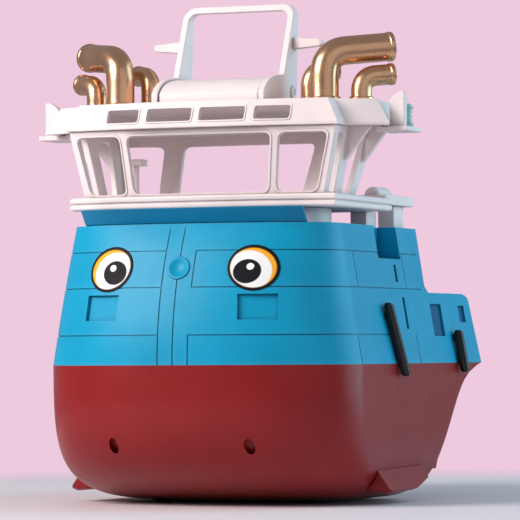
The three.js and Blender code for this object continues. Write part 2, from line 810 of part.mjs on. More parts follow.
function roof() {
  const lip = 1.6;
  const main = solid(
    loft([level(ROOF_FOOT, ROOF_BOTTOM), level(ROOF_FOOT, ROOF_BOTTOM + lip), level(ROOF_HEAD, ROOF_TOP)]),
  );
  const mainRoom = solid(
    loft([
      level(insetOutline(ROOF_FOOT, ROOF_SKIN), ROOF_BOTTOM - 0.01),
      level(insetOutline(ROOF_HEAD, ROOF_SKIN), ROOF_TOP - ROOF_SKIN),
    ]),
  );
  const wing = solid(
    loft([flat(WING_FOOT, ROOF_BOTTOM), flat(WING_FOOT, ROOF_BOTTOM + lip), flat(WING_HEAD, ROOF_TOP)]),
  );
  const wingRoom = solid(
    loft([
      flat(drawnIn(WING_FOOT, ROOF_SKIN), ROOF_BOTTOM - 0.01),
      flat(drawnIn(WING_HEAD, ROOF_SKIN), ROOF_TOP - ROOF_SKIN),
    ]),
  );
  const both = (part) => part.add(part.scale([-1, 1, 1]));
  const shell = main.add(both(wing)).subtract(mainRoom).subtract(both(wingRoom));
  const openings = SKYLIGHTS.flatMap(([x0, x1]) =>
    Object.values(SIDES).map((side) => {
      const pane = windowShape([x0, x1], [x0, x1], 196.2, 203, 1.4);
      const cutter = solid(extrudeAlong(pane, -86, 26, 4));
      return side > 0 ? cutter : cutter.scale([-1, 1, 1]);
    }),
  );
  return geometryOf(subtractAll(shell, openings));
}

// ---- wing lights: a shelf, a D-shaped screen and a lamp -----------------------------------
const SHELF = { z0: 190.2, z1: 192.5 };

function lightScreen(side) {
  const shelf = solid(box([86, -62, SHELF.z0], [103, -39, SHELF.z1]));
  const clear = solid(box([92.6, -61, SHELF.z1], [104, -30, 230]));
  const screen = new THREE.Shape();
  screen.moveTo(100.5, SHELF.z1 - 1);
  screen.lineTo(100.5, 208.5);
  screen.absarc(100.5, 201, 9.3, Math.PI / 2, Math.PI);
  screen.lineTo(91.2, SHELF.z1 - 1);
  screen.closePath();
  const plate = solid(extrudeAlong(screen, -57, 4.4, 10)).intersect(clear);
  return mirrored(shelf.add(plate), side);
}

const navLamp = (side) =>
  turned(
    [
      [0, 0],
      [3.2, 0],
      [3.2, 2],
      [2.6, 2.6],
      [2.6, 9.6],
      [3.2, 10.2],
      [2.6, 11.8],
      [0, 12.4],
    ],
    20,
  ).translate(side * 97.6, -46.5, SHELF.z1);

// ---- folding mast: a fixed housing, and an arch that swings on a pin ----------------------
const PIN = { y: -38, z: 213.2, r: 1.6 };
const HOUSING = { halfWidth: 27.6, front: -76.6, back: -32, top: 220, shoulder: 211.4 };
const ARCH = { half: 31.4, bar: 3.4, front: -77.7, top: 260 };

function mastHousing() {
  const { front, back, top, shoulder, halfWidth } = HOUSING;
  const outline = new THREE.Shape();
  outline.moveTo(front, ROOF_TOP);
  outline.lineTo(back, ROOF_TOP);
  outline.lineTo(back, top - 4);
  outline.quadraticCurveTo(back, top, back - 4, top);
  outline.lineTo(front + 20, top);
  outline.quadraticCurveTo(front + 5, top - 1.5, front, shoulder);
  outline.closePath();
  const block = solid(extrudeAcross(outline, 0, 2 * halfWidth, 8));
  // The room starts well behind the front, which slopes back as it rises.
  const room = solid(box([-halfWidth + 2.6, front + 9, ROOF_TOP - 1], [halfWidth - 2.6, back - 3, top - 5]));
  const bore = solid(rod([-40, PIN.y, PIN.z], [40, PIN.y, PIN.z], PIN.r + 0.06, 24));
  return geometryOf(block.subtract(room).subtract(bore));
}

// One side of the arch seen from port: a cheek along the housing, rising into a tapered leg.
function archLeg() {
  const clearR = PIN.z - ROOF_TOP - GAP;
  const shape = new THREE.Shape();
  shape.moveTo(ARCH.front, ROOF_TOP + GAP);
  shape.lineTo(PIN.y, ROOF_TOP + GAP);
  shape.absarc(PIN.y, PIN.z, clearR, -Math.PI / 2, 0);
  shape.lineTo(-31, 221);
  shape.lineTo(-28.2, ARCH.top - 3);
  shape.quadraticCurveTo(-28.2, ARCH.top, -30.6, ARCH.top);
  shape.lineTo(-33, ARCH.top);
  shape.lineTo(-49, 222);
  shape.lineTo(-56, 221.2);
  shape.quadraticCurveTo(-71.5, 220, ARCH.front, 211.8);
  shape.closePath();
  return shape;
}

function mastArch() {
  const side = HOUSING.halfWidth + 0.4;
  const thick = ARCH.half - side;
  const legX = side + thick / 2;
  const legs = Object.values(SIDES).map((s) => solid(extrudeAcross(archLeg(), s * legX, thick, 8)));
  const span = 2 * ARCH.half;
  const height = 34;
  const frame = roundedRectangle(span, height * 2, 7);
  frame.holes.push(roundedRectangle(span - 2 * ARCH.bar, (height - ARCH.bar) * 2, 4.4));
  const hoop = solid(extrudeAlong(frame, -36, 44, 6).translate(0, 0, ARCH.top - height));
  const outline = solid(extrudeAcross(archLeg(), 0, span, 8));
  const upper = solid(box([-50, -80, 226], [50, 0, 270]));
  const top = hoop.intersect(outline).intersect(upper);
  const lower = legs.map((leg) => leg.subtract(upper));
  const pinBore = solid(rod([-40, PIN.y, PIN.z], [40, PIN.y, PIN.z], PIN.r, 24));
  const boss = Object.values(SIDES).map((s) =>
    solid(rod([s * side, PIN.y, PIN.z], [s * (ARCH.half + 1.2), PIN.y, PIN.z], 3.6, 24)),
  );
  return geometryOf(addAll([top, ...lower, ...boss]).subtract(pinBore));
}

const mastPin = () => rod([-ARCH.half - 1, PIN.y, PIN.z], [ARCH.half + 1, PIN.y, PIN.z], PIN.r, 24);

function mastArm(side) {
  const z = 238.8;
  const y = -35.2;
  const at = (x, halfHeight, halfDepth) => [
    [x, y - halfDepth, z - halfHeight],
    [x, y + halfDepth, z - halfHeight],
    [x, y + halfDepth, z + halfHeight],
    [x, y - halfDepth, z + halfHeight],
  ];
  const rings = [at(ARCH.half, 3, 2.6), at(46, 1.8, 2), at(47.6, 1.2, 1.4)];
  const upright = rings.map((points) => points.map(([x, b, c]) => [b, c, x]));
  return mirrored(solid(loft(upright).applyMatrix4(ONTO_X)), side);
}

// ---- exhaust pipes ------------------------------------------------------------------------
const PIPES = {
  main: { x: 57.2, y: -59, r: 7.35, axisTop: 231.6, reach: 36.8, bend: 12 },
  outer: { x: 74.4, y: -51, r: 5.3, axisTop: 219, reach: 17.5, bend: 8 },
  inner: { x: 45, y: -47, r: 5.1, axisTop: 223, reach: 15, bend: 8 },
};
const OUTLET_TURN = 0.68; // aft of square
const OUTLET_RISE = 0.1;

function exhaust(side, { x, y, r, axisTop, reach, bend }) {
  const foot = new THREE.Vector3(x, y, ROOF_TOP);
  const knee = new THREE.Vector3(x, y, axisTop);
  const heading = new THREE.Vector3(Math.cos(OUTLET_TURN), Math.sin(OUTLET_TURN), OUTLET_RISE).normalize();
  const mouth = knee.clone().addScaledVector(heading, reach);
  const path = new THREE.CurvePath();
  const bendStart = knee.clone().add(new THREE.Vector3(0, 0, -bend));
  const bendEnd = knee.clone().addScaledVector(heading, bend);
  path.add(new THREE.LineCurve3(foot, bendStart));
  path.add(new THREE.QuadraticBezierCurve3(bendStart, knee, bendEnd));
  path.add(new THREE.LineCurve3(bendEnd, mouth));
  const circle = new THREE.Shape().absarc(0, 0, r, 0, 2 * Math.PI);
  const pipe = new THREE.ExtrudeGeometry(circle, { steps: 12, curveSegments: 8, extrudePath: path });
  const collar = rod([x, y, ROOF_TOP], [x, y, ROOF_TOP + 2.2], r + 1, 20);
  const rim = mouth.clone().addScaledVector(heading, -2.4);
  const band = rod(rim.toArray(), mouth.toArray(), r + 0.35, 20);
  return mirrored(addAll([solid(pipe), solid(collar), solid(band)]).trimByPlane([0, 0, 1], ROOF_TOP), side);
}

// ---- running wheels under the hull --------------------------------------------------------
const wheel = (x, y) =>
  turned(
    [
      [WHEEL_BORE_R, -WHEEL_W / 2],
      [WHEEL_R - 1, -WHEEL_W / 2],
      [WHEEL_R, -WHEEL_W / 2 + 1],
      [WHEEL_R, WHEEL_W / 2 - 1],
      [WHEEL_R - 1, WHEEL_W / 2],
      [WHEEL_BORE_R, WHEEL_W / 2],
      [WHEEL_BORE_R, -WHEEL_W / 2],
    ],
    28,
  )
    .rotateY(Math.PI / 2)
    .translate(x, y, WHEEL_R);

const axle = (y) => {
  const half = WHEEL_X + WHEEL_W / 2 + 2.2;
  return rod([-half, y, WHEEL_R], [half, y, WHEEL_R], AXLE_R, 24);
};

// ---- assembly -----------------------------------------------------------------------------
add("hull_bottom", hullBottom(), RED);
add("hull_top", hullTop(), BLUE);
add("fore_deck", deckPlate(FORE_DECK_Z, -200, STEP_Y - HULL_WALL - 0.1), DARK_BLUE);
add("aft_deck", deckPlate(AFT_DECK_Z, STEP_Y + 0.1, 200), DARK_BLUE);
add("bow_button", bowButton(), BLUE);
add("bow_visor", bowVisor(), DARK_BLUE);
add("wheelhouse_base", wheelhouseBase(), WHITE);
add("deckhouse", deckhouse(), WHITE);
add("boat_deck", boatDeck(), WHITE);
add("wheelhouse", wheelhouse(), WHITE);
add("helm_stand", helmStand(), WHITE);
add("roof", roof(), WHITE);
add("mast_housing", mastHousing(), WHITE);
add("mast_arch", mastArch(), WHITE);
add("mast_pin", mastPin(), STEEL);
const FENDERS = {
  front: [{ y: -36, z: 103.4 }, { y: -23.5, z: 65.4 }],
  rear: [{ y: 68, z: 89.7 }, { y: 71, z: 66.8 }],
};
Object.entries(SIDES).forEach(([name, side]) => {
  add(`eye_${name}`, eyePad(side), EYE_WHITE);
  add(`bilge_fin_${name}`, bilgeFin(side), RED);
  add(`stern_skeg_${name}`, sternSkeg(side), RED);
  Object.entries(FENDERS).forEach(([end, [top, foot]]) => {
    add(`fender_${end}_${name}`, fender(side, top, foot), BLACK);
  });
  add(`deck_column_${name}`, mirrored(solid(box(...DECK_COLUMN)), side), WHITE);
  add(`deck_post_${name}`, mirrored(solid(box(...DECK_POST)), side), WHITE);
  add(`canister_${name}`, canister(side), WHITE);
  add(`light_screen_${name}`, lightScreen(side), WHITE);
  add(`nav_lamp_${name}`, navLamp(side), LAMP);
  add(`mast_arm_${name}`, mastArm(side), WHITE);
  Object.entries(PIPES).forEach(([size, pipe]) => add(`exhaust_${size}_${name}`, exhaust(side, pipe), GOLD));
});
AXLE_Y.forEach((y, i) => {
  const end = ["front", "rear"][i];
  add(`axle_${end}`, axle(y), STEEL);
  Object.entries(SIDES).forEach(([name, side]) => {
    add(`wheel_${end}_${name}`, wheel(side * WHEEL_X, y), DARK_PLASTIC);
  });
});

export default root;
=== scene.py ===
import json
import math

import bmesh
import bpy
from mathutils import Matrix, Vector


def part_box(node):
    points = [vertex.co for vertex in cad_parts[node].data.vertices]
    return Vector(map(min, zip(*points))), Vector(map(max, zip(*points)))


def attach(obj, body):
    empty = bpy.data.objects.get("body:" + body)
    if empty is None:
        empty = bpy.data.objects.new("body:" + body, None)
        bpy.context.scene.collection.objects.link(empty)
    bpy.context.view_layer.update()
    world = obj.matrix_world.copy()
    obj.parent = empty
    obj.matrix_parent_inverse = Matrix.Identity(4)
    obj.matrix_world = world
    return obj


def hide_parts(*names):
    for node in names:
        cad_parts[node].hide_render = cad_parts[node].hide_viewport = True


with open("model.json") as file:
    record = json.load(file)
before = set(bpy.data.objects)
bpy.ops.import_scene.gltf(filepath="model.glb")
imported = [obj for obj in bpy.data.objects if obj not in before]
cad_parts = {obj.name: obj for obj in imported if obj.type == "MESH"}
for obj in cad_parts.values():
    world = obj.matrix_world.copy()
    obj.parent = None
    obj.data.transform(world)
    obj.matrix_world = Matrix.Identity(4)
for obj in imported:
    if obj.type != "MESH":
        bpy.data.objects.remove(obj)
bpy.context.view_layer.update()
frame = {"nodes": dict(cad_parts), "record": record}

# ---- dimensions, in mm, from the frame ----------------------------------------------------
MM = 0.001
RED_LOW, RED_HIGH = (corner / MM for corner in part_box("hull_bottom"))
BLUE_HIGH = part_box("hull_top")[1] / MM
HALF_BEAM = RED_HIGH.x
SEAM_Z = RED_HIGH.z
RIM_Z = BLUE_HIGH.z
HALF_LENGTH = 125  # from the origin of the hull form to the stem
SHIFT_Y = RED_LOW.y + HALF_LENGTH  # y of the hull form's origin in the row frame
TRANSOM_CROWN = 1.2
STERN_Y = BLUE_HIGH.y - SHIFT_Y - TRANSOM_CROWN
BOW_DEPTH = 50
BOW_ROUNDNESS = 2.2
STERN_RADIUS = 14
DEEPEST = 0.985  # share of the red hull's depth at which its belly turns flat
KEEL_Z = SEAM_Z - (SEAM_Z - RED_LOW.z) / DEEPEST
LOW_RIM_Z = 109.5
STEP_Y = 34
HULL_WALL = 2.6
FLOOR_LIFT = 2.4  # how far the inside of the red hull stands above its outside
TUMBLEHOME = 0.17  # how far the sides lean in for each mm of rise
BOW_LEAN = 19.7  # how far aft the stem has leaned at the rim
LEAN_START = 60  # how far forward of the form's origin that lean sets in
TURN = {"side": 6.5, "bow": 3.1}  # how squarely the hull turns into its belly
COUNTER = {"step": 28, "blend": 5, "slope": 1.02}
NICHE = {"x": 60.4, "y0": -30, "y1": 3.5, "z0": 126.6, "wall": 2.4}
ROOF_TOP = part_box("exhaust_main_port")[0].z / MM
SIDES = {"port": 1, "starboard": -1}
BEYOND = 100  # x of a cutter that has to run past the side
AHEAD = -HALF_LENGTH - 5  # y of a cutter that has to start ahead of the stem

BODY_OF = {
    node: body
    for body, info in frame["record"]["behaviour"]["bodies"].items()
    for node in (info["nodes"] if isinstance(info, dict) else info)
}


# ---- mesh helpers -------------------------------------------------------------------------
def place(point):
    """A point of the hull form, in mm, as a point of the row frame, in metres."""
    x, y, z = point
    return (x * MM, (y + SHIFT_Y) * MM, z * MM)


def mesh_object(name, points, faces):
    mesh = bpy.data.meshes.new(name)
    mesh.from_pydata([place(point) for point in points], [], faces)
    mesh.validate()
    bm = bmesh.new()
    bm.from_mesh(mesh)
    bmesh.ops.recalc_face_normals(bm, faces=bm.faces)
    bm.to_mesh(mesh)
    bm.free()
    obj = bpy.data.objects.new(name, mesh)
    bpy.context.collection.objects.link(obj)
    return obj


def bridge(rings, wrap=False):
    """Quads between a list of rings with the same number of points."""
    count = len(rings[0])
    spans = len(rings) if wrap else len(rings) - 1
    faces = []
    for k in range(spans):
        low, high = k * count, ((k + 1) % len(rings)) * count
        for i in range(count):
            j = (i + 1) % count
            faces.append((low + i, low + j, high + j, high + i))
    return faces


def loft(name, rings):
    """A closed solid skinned over rings."""
    count = len(rings[0])
    faces = bridge(rings)
    faces.append(tuple(range(count)))
    faces.append(tuple(range((len(rings) - 1) * count, len(rings) * count)))
    return mesh_object(name, [point for ring in rings for point in ring], faces)


def box(low, high):
    (x0, y0, z0), (x1, y1, z1) = low, high
    ring = [(x0, y0), (x1, y0), (x1, y1), (x0, y1)]
    return loft("cutter", [[(x, y, z) for x, y in ring] for z in (z0, z1)])


def prism_across(outline, x0, x1):
    """A solid whose (y, z) outline runs along x."""
    return loft("cutter", [[(x, y, z) for y, z in outline] for x in (x0, x1)])


def bake(obj):
    """Applies the modifiers."""
    graph = bpy.context.evaluated_depsgraph_get()
    mesh = bpy.data.meshes.new_from_object(obj.evaluated_get(graph))
    obj.modifiers.clear()
    obj.data = mesh


def combine(obj, others, operation):
    """Cuts, joins or intersects obj with each of the others, which are used up."""
    for other in others:
        modifier = obj.modifiers.new("combine", "BOOLEAN")
        modifier.object = other
        modifier.operation = operation
        modifier.solver = "MANIFOLD"
        bake(obj)
        bpy.data.objects.remove(other)
    return obj


def round_edges(obj, width, segments=2, angle=32):
    modifier = obj.modifiers.new("edges", "BEVEL")
    modifier.width = width * MM
    modifier.segments = segments
    modifier.limit_method = "ANGLE"
    modifier.angle_limit = math.radians(angle)
    modifier.use_clamp_overlap = False
    evened = obj.modifiers.new("normals", "WEIGHTED_NORMAL")
    evened.keep_sharp = True


def smooth(obj, angle=32):
    obj.data.shade_smooth()
    obj.data.set_sharp_from_angle(angle=math.radians(angle))


def trim(obj, body, material, bevel=0.0):
    """Finishes a piece: shading, edges, material and body."""
    smooth(obj)
    if bevel:
        round_edges(obj, bevel)
    obj.data.materials.clear()
    obj.data.materials.append(material)
    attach(obj, body)
    return obj


def settle(obj, nodes, material, bevel=0.0):
    """Finishes a piece that stands for CAD nodes."""
    trim(obj, BODY_OF[nodes[0]], material, bevel)
    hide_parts(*nodes)
    return obj


WELD = 0.002  # points of the CAD mesh closer than this are one


def refined(node, material, bevel=0.4):
    """The CAD node's own shape, welded into whole faces and given rounded edges."""
    mesh = frame["nodes"][node].data.copy()
    bm = bmesh.new()
    bm.from_mesh(mesh)
    bmesh.ops.remove_doubles(bm, verts=bm.verts, dist=WELD * MM)
    bmesh.ops.dissolve_limit(bm, angle_limit=math.radians(1), verts=bm.verts, edges=bm.edges)
    bm.to_mesh(mesh)
    bm.free()
    obj = bpy.data.objects.new(f"{node}.piece", mesh)
    bpy.context.collection.objects.link(obj)
    return settle(obj, [node], material, bevel)


# ---- materials ----------------------------------------------------------------------------
class Nodes:
    """A short way to add and link shader nodes."""

    def __init__(self, name):
        self.material = bpy.data.materials.new(name)
        self.material.use_nodes = True
        self.tree = self.material.node_tree
        self.surface = self.tree.nodes["Principled BSDF"]
        self.where = self.add("ShaderNodeTexCoord").outputs["Object"]

    def add(self, kind, **values):
        node = self.tree.nodes.new(kind)
        for key, value in values.items():
            setattr(node, key, value)
        return node

    def link(self, source, target):
        self.tree.links.new(source, target)

    def noise(self, scale, detail=3.0, stretch=(1, 1, 1)):
        mapping = self.add("ShaderNodeMapping")
        mapping.inputs["Scale"].default_value = stretch
        self.link(self.where, mapping.inputs["Vector"])
        node = self.add("ShaderNodeTexNoise")
        node.inputs["Scale"].default_value = scale
        node.inputs["Detail"].default_value = detail
        self.link(mapping.outputs["Vector"], node.inputs["Vector"])
        return node.outputs["Fac"]

    def remap(self, source, low, high, start=0.3, end=0.7):
        node = self.add("ShaderNodeMapRange")
        self.link(source, node.inputs["Value"])
        for key, value in (("From Min", start), ("From Max", end), ("To Min", low), ("To Max", high)):
            node.inputs[key].default_value = value
        return node.outputs["Result"]

    def mix(self, factor, first, second):
        """Mixes two colours, each a tuple or a socket."""
        node = self.add("ShaderNodeMix", data_type="RGBA")
        sockets = [s for s in node.inputs if s.type == "RGBA"]
        self.link(factor, node.inputs[0])
        for socket, colour in zip(sockets, (first, second)):
            if isinstance(colour, tuple):
                socket.default_value = (*colour, 1)
            else:
                self.link(colour, socket)
        return [s for s in node.outputs if s.type == "RGBA"][0]

    def maths(self, operation, first, second=0.0):
        node = self.add("ShaderNodeMath", operation=operation)
        for socket, value in zip(node.inputs, (first, second)):
            if isinstance(value, (int, float)):
                socket.default_value = value
            else:
                self.link(value, socket)
        return node.outputs[0]

    def bump(self, layers):
        """Stacks bumps, each (height socket, depth in mm, strength)."""
        normal = None
        for height, depth, strength in layers:
            node = self.add("ShaderNodeBump")
            node.inputs["Distance"].default_value = depth * MM
            node.inputs["Strength"].default_value = strength
            self.link(height, node.inputs["Height"])
            if normal:
                self.link(normal, node.inputs["Normal"])
            normal = node.outputs["Normal"]
        self.link(normal, self.surface.inputs["Normal"])


def tinted(colour, factor):
    return tuple(min(1, channel * factor) for channel in colour)


PLASTIC_SHEEN = 0.2  # keeps the colours full where the studio reflects in them


def moulded(name, colour, roughness, shine=0.0, grain=0.5, wear=0.3):
    """Moulded plastic: faint mottling, fine grain and scratches, paler edges where it is worn, and
    painted shade that darkens recesses, creases and engraved lines.
    """
    nodes = Nodes(name)
    mottle = nodes.remap(nodes.noise(38, 4), 0, 1)
    body = nodes.mix(mottle, tinted(colour, 0.93), tinted(colour, 1.06))
    geometry = nodes.add("ShaderNodeNewGeometry")
    edges = nodes.remap(geometry.outputs["Pointiness"], 0, wear, 0.53, 0.62)
    worn = nodes.mix(edges, body, tuple(0.6 * c + 0.3 for c in colour))
    # Painted shade: ambient occlusion darkens the colour towards half in recesses, creases and engraved
    # lines.
    recess_shade = nodes.add("ShaderNodeAmbientOcclusion", samples=6)
    recess_shade.inputs["Distance"].default_value = 5 * MM
    unshaded_share = nodes.remap(recess_shade.outputs["AO"], 0, 1, 0.25, 0.85)
    shaded = nodes.mix(unshaded_share, tinted(colour, 0.5), worn)
    nodes.link(shaded, nodes.surface.inputs["Base Color"])
    scratches = nodes.noise(420, 2, (1, 1, 14))
    smudges = nodes.noise(55, 3)
    rough = nodes.maths(
        "ADD",
        nodes.remap(smudges, roughness - 0.05, roughness + 0.06),
        nodes.remap(scratches, 0, 0.04, 0.6, 0.75),
    )
    nodes.link(rough, nodes.surface.inputs["Roughness"])
    nodes.surface.inputs["Coat Weight"].default_value = shine
    nodes.surface.inputs["Coat Roughness"].default_value = roughness * 0.6
    nodes.surface.inputs["Specular IOR Level"].default_value = PLASTIC_SHEEN
    nodes.bump([(nodes.noise(1900, 3), 0.03, grain), (nodes.noise(90, 2), 0.12, 0.12)])
    return nodes.material


def sprayed_metal(name, colour, roughness):
    """Metallic paint on a smooth part: fine flake, soft mottling and a slightly uneven sheen."""
    nodes = Nodes(name)
    nodes.surface.inputs["Metallic"].default_value = 1
    flake = nodes.remap(nodes.noise(2600, 1), 0, 1, 0.35, 0.65)
    cloud = nodes.remap(nodes.noise(70, 3), 0, 1)
    base = nodes.mix(cloud, tinted(colour, 0.86), tinted(colour, 1.1))
    nodes.link(nodes.mix(flake, base, tinted(colour, 1.15)), nodes.surface.inputs["Base Color"])
    nodes.link(
        nodes.remap(nodes.noise(120, 4), roughness - 0.05, roughness + 0.09),
        nodes.surface.inputs["Roughness"],
    )
    nodes.bump([(nodes.noise(1400, 2), 0.01, 0.15)])
    return nodes.material


def lamp_lens(name):
    """Tinted lens with fine slanting ribs."""
    nodes = Nodes(name)
    ribs = nodes.add("ShaderNodeTexWave", bands_direction="DIAGONAL")
    ribs.inputs["Scale"].default_value = 260
    nodes.link(nodes.where, ribs.inputs["Vector"])
    tint = nodes.mix(ribs.outputs["Fac"], (0.36, 0.72, 0.7), (0.62, 0.9, 0.87))
    nodes.link(tint, nodes.surface.inputs["Base Color"])
    nodes.link(nodes.remap(nodes.noise(160), 0.1, 0.2), nodes.surface.inputs["Roughness"])
    nodes.surface.inputs["Transmission Weight"].default_value = 0.55
    nodes.bump([(ribs.outputs["Fac"], 0.2, 0.4)])
    return nodes.material


# Placed on the port eye. The starboard eye is its mirror image, so both look towards the stem.
EYE_LOW, EYE_HIGH = (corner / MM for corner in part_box("eye_port"))
EYE = {"x": 38.9, "z": (EYE_LOW.z + EYE_HIGH.z) / 2, "half_width": 13.1, "half_height": 11.4, "tilt": 0.3}
RIM_SHARE = (0.88, 0.86)  # what the dark rim leaves of the width and the height
WHITE_OF_EYE = {"inward": 2.1, "down": 1.5, "share": 0.88}
INK = (0.012, 0.011, 0.014)
AMBER = (0.93, 0.42, 0.03)
HIGHLIGHT = (0.95, 0.95, 0.95)
PUPIL = {"inward": 2.8, "down": 1.8, "half_width": 7.0, "half_height": 6.1}
GLINT = {"inward": 1.4, "up": 0.6, "half_width": 1.9, "half_height": 1.7}


def oval_mask(nodes, centre, half_width, half_height, tilt, edge=0.03):
    """1 inside an oval drawn on the (x, z) plane, 0 outside it."""
    parts = nodes.add("ShaderNodeSeparateXYZ")
    nodes.link(nodes.where, parts.inputs[0])
    across = nodes.maths("SUBTRACT", parts.outputs["X"], centre[0] * MM)
    up = nodes.maths("SUBTRACT", parts.outputs["Z"], centre[1] * MM)
    cosine, sine = math.cos(tilt), math.sin(tilt)
    along = nodes.maths(
        "ADD", nodes.maths("MULTIPLY", across, cosine), nodes.maths("MULTIPLY", up, sine)
    )
    square = nodes.maths(
        "SUBTRACT", nodes.maths("MULTIPLY", up, cosine), nodes.maths("MULTIPLY", across, sine)
    )

    def squared(distance, half):
        share = nodes.maths("ABSOLUTE", nodes.maths("DIVIDE", distance, half * MM))
        return nodes.maths("POWER", share, 2.0)

    total = nodes.maths("ADD", squared(along, half_width), squared(square, half_height))
    reach = nodes.maths("SQRT", total)
    return nodes.remap(reach, 1, 0, 1 - edge, 1 + edge)


def eye_sticker(name, side):
    """A generic cartoon eye: dark rim, amber band, white, round pupil and a highlight."""
    nodes = Nodes(name)
    x, z, tilt = side * EYE["x"], EYE["z"], -side * EYE["tilt"]
    wide, high = EYE["half_width"], EYE["half_height"]
    inward = -side
    amber = oval_mask(nodes, (x, z), wide * RIM_SHARE[0], high * RIM_SHARE[1], tilt)
    white_at = (x + inward * WHITE_OF_EYE["inward"], z - WHITE_OF_EYE["down"])
    share = WHITE_OF_EYE["share"]
    shifted = oval_mask(nodes, white_at, wide * share, high * share, tilt)
    white = nodes.maths("MULTIPLY", shifted, amber)
    pupil_at = (x + inward * PUPIL["inward"], z - PUPIL["down"])
    pupil = oval_mask(nodes, pupil_at, PUPIL["half_width"], PUPIL["half_height"], 0)
    glint_at = (x + inward * GLINT["inward"], z + GLINT["up"])
    glint = oval_mask(nodes, glint_at, GLINT["half_width"], GLINT["half_height"], 0)
    paper = nodes.mix(nodes.remap(nodes.noise(220), 0, 1), (0.86, 0.85, 0.83), (0.93, 0.92, 0.9))
    layers = [(AMBER, amber), (paper, white), (INK, pupil), (HIGHLIGHT, glint)]
    colour = INK
    for layer, mask in layers:
        colour = nodes.mix(mask, colour, layer)
    nodes.link(colour, nodes.surface.inputs["Base Color"])
    nodes.link(nodes.remap(nodes.noise(140), 0.42, 0.52), nodes.surface.inputs["Roughness"])
    nodes.surface.inputs["Specular IOR Level"].default_value = 0.08
    nodes.bump([(nodes.noise(1500), 0.01, 0.3)])
    return nodes.material


RED = moulded("red plastic", (0.24, 0.008, 0.009), 0.36, shine=0.2, wear=0.0)
BLUE = moulded("blue plastic", (0.0, 0.3, 0.5), 0.42, shine=0.05, wear=0.1)
DECK_BLUE = moulded("deck blue", (0.004, 0.24, 0.4), 0.5)
# Painted shade: a darker blue for the pocket floors, standing in for the shade in those recesses.
POCKET_SHADE_BLUE = moulded("pocket shade blue", (0.0, 0.085, 0.2), 0.6, wear=0.0)
# Painted shade: the hull's blue, darkened because the visor leans out and faces down, away from the
# light.
VISOR_SHADED_BLUE = moulded("visor shaded blue", (0.0, 0.2, 0.38), 0.42, shine=0.05, wear=0.1)
# A warm white whose pink cast is partly painted light, standing in for pink light bounced from the room.
WHITE = moulded("white plastic", (0.87, 0.75, 0.74), 0.46, shine=0.08, wear=0.0)
BLACK = moulded("black rubber", (0.003, 0.003, 0.004), 0.22, shine=0.5, grain=0.1, wear=0.0)
WHEEL = moulded("wheel plastic", (0.025, 0.025, 0.028), 0.5, wear=0.1)
GOLD = sprayed_metal("gold metal", (0.66, 0.38, 0.22), 0.26)
STEEL = sprayed_metal("steel", (0.5, 0.5, 0.52), 0.3)
LAMP = lamp_lens("lamp lens")


# ---- hull form ----------------------------------------------------------------------------
def plan_of_hull(bow_steps=56, straight_steps=14, corner_steps=12):
    """Port half of the plan at the seam, from the stem to the middle of the transom."""
    points = []
    shoulder = BOW_DEPTH - HALF_LENGTH
    power = 2 / BOW_ROUNDNESS
    for i in range(bow_steps + 1):
        angle = i / bow_steps * math.pi / 2
        across = HALF_BEAM * max(0, math.sin(angle)) ** power
        points.append((across, shoulder - BOW_DEPTH * max(0, math.cos(angle)) ** power))
    corner_y = STERN_Y - STERN_RADIUS
    for i in range(1, straight_steps):
        points.append((HALF_BEAM, shoulder + (corner_y - shoulder) * i / straight_steps))
    for i in range(corner_steps + 1):
        angle = i / corner_steps * math.pi / 2
        across = HALF_BEAM - STERN_RADIUS * (1 - math.cos(angle))
        points.append((across, corner_y + STERN_RADIUS * math.sin(angle)))
    points.append((HALF_BEAM / 3, STERN_Y + 0.8 * TRANSOM_CROWN))
    points.append((0, STERN_Y + TRANSOM_CROWN))
    return points


PLAN = plan_of_hull()


def draw_in(depth, exponent):
    return (1 - depth**exponent) ** (1 / exponent)


def hull_point(point, z, inset=0.0):
    """Moves a plan point to height z, shrunk inwards by the wall inset."""
    x, y = point
    if z >= SEAM_Z:
        rise = z - SEAM_Z
        lean = BOW_LEAN * (rise / (RIM_Z - SEAM_Z)) ** 2
        bowward = max(0, (-y - LEAN_START) / (HALF_LENGTH - LEAN_START)) ** 2
        across = 1 - TUMBLEHOME * rise / HALF_BEAM
        along = y + lean * bowward if y < 0 else y * (1 - TUMBLEHOME * rise / HALF_LENGTH)
    else:
        drop = SEAM_Z - z
        depth = min(1, drop / (SEAM_Z - KEEL_Z))
        counter = COUNTER["step"] * (1 - math.exp(-drop / COUNTER["blend"])) + COUNTER["slope"] * drop
        across = draw_in(depth, TURN["side"])
        along = y * draw_in(depth, TURN["bow"]) if y < 0 else y * (1 - counter / HALF_LENGTH)
    return (x * across * (1 - inset / HALF_BEAM), along * (1 - inset / HALF_LENGTH), z)


def hull_ring(z, inset=0.0, height=None):
    """The hull's outline at z, moved to another height if one is given."""
    port = [hull_point(point, z, inset) for point in PLAN]
    ring = port + [(-x, y, h) for x, y, h in reversed(port[1:-1])]
    return [(x, y, h if height is None else height) for x, y, h in ring]


def red_form(inset, top):
    """The red hull's form. Sections crowd together towards the keel, where it turns fastest."""
    sections = 30
    shallowest = 0.02
    span = DEEPEST - shallowest
    depths = [shallowest + span * math.sin(i / sections * math.pi / 2) for i in range(sections)]
    lift = FLOOR_LIFT if inset > 0 else 0
    rings = []
    for depth in [DEEPEST, *reversed(depths)]:
        z = SEAM_Z - depth * (SEAM_Z - KEEL_Z)
        rings.append(hull_ring(z, inset, z + lift))
    rings.append(hull_ring(SEAM_Z, inset, top))
    return loft("cutter", rings)


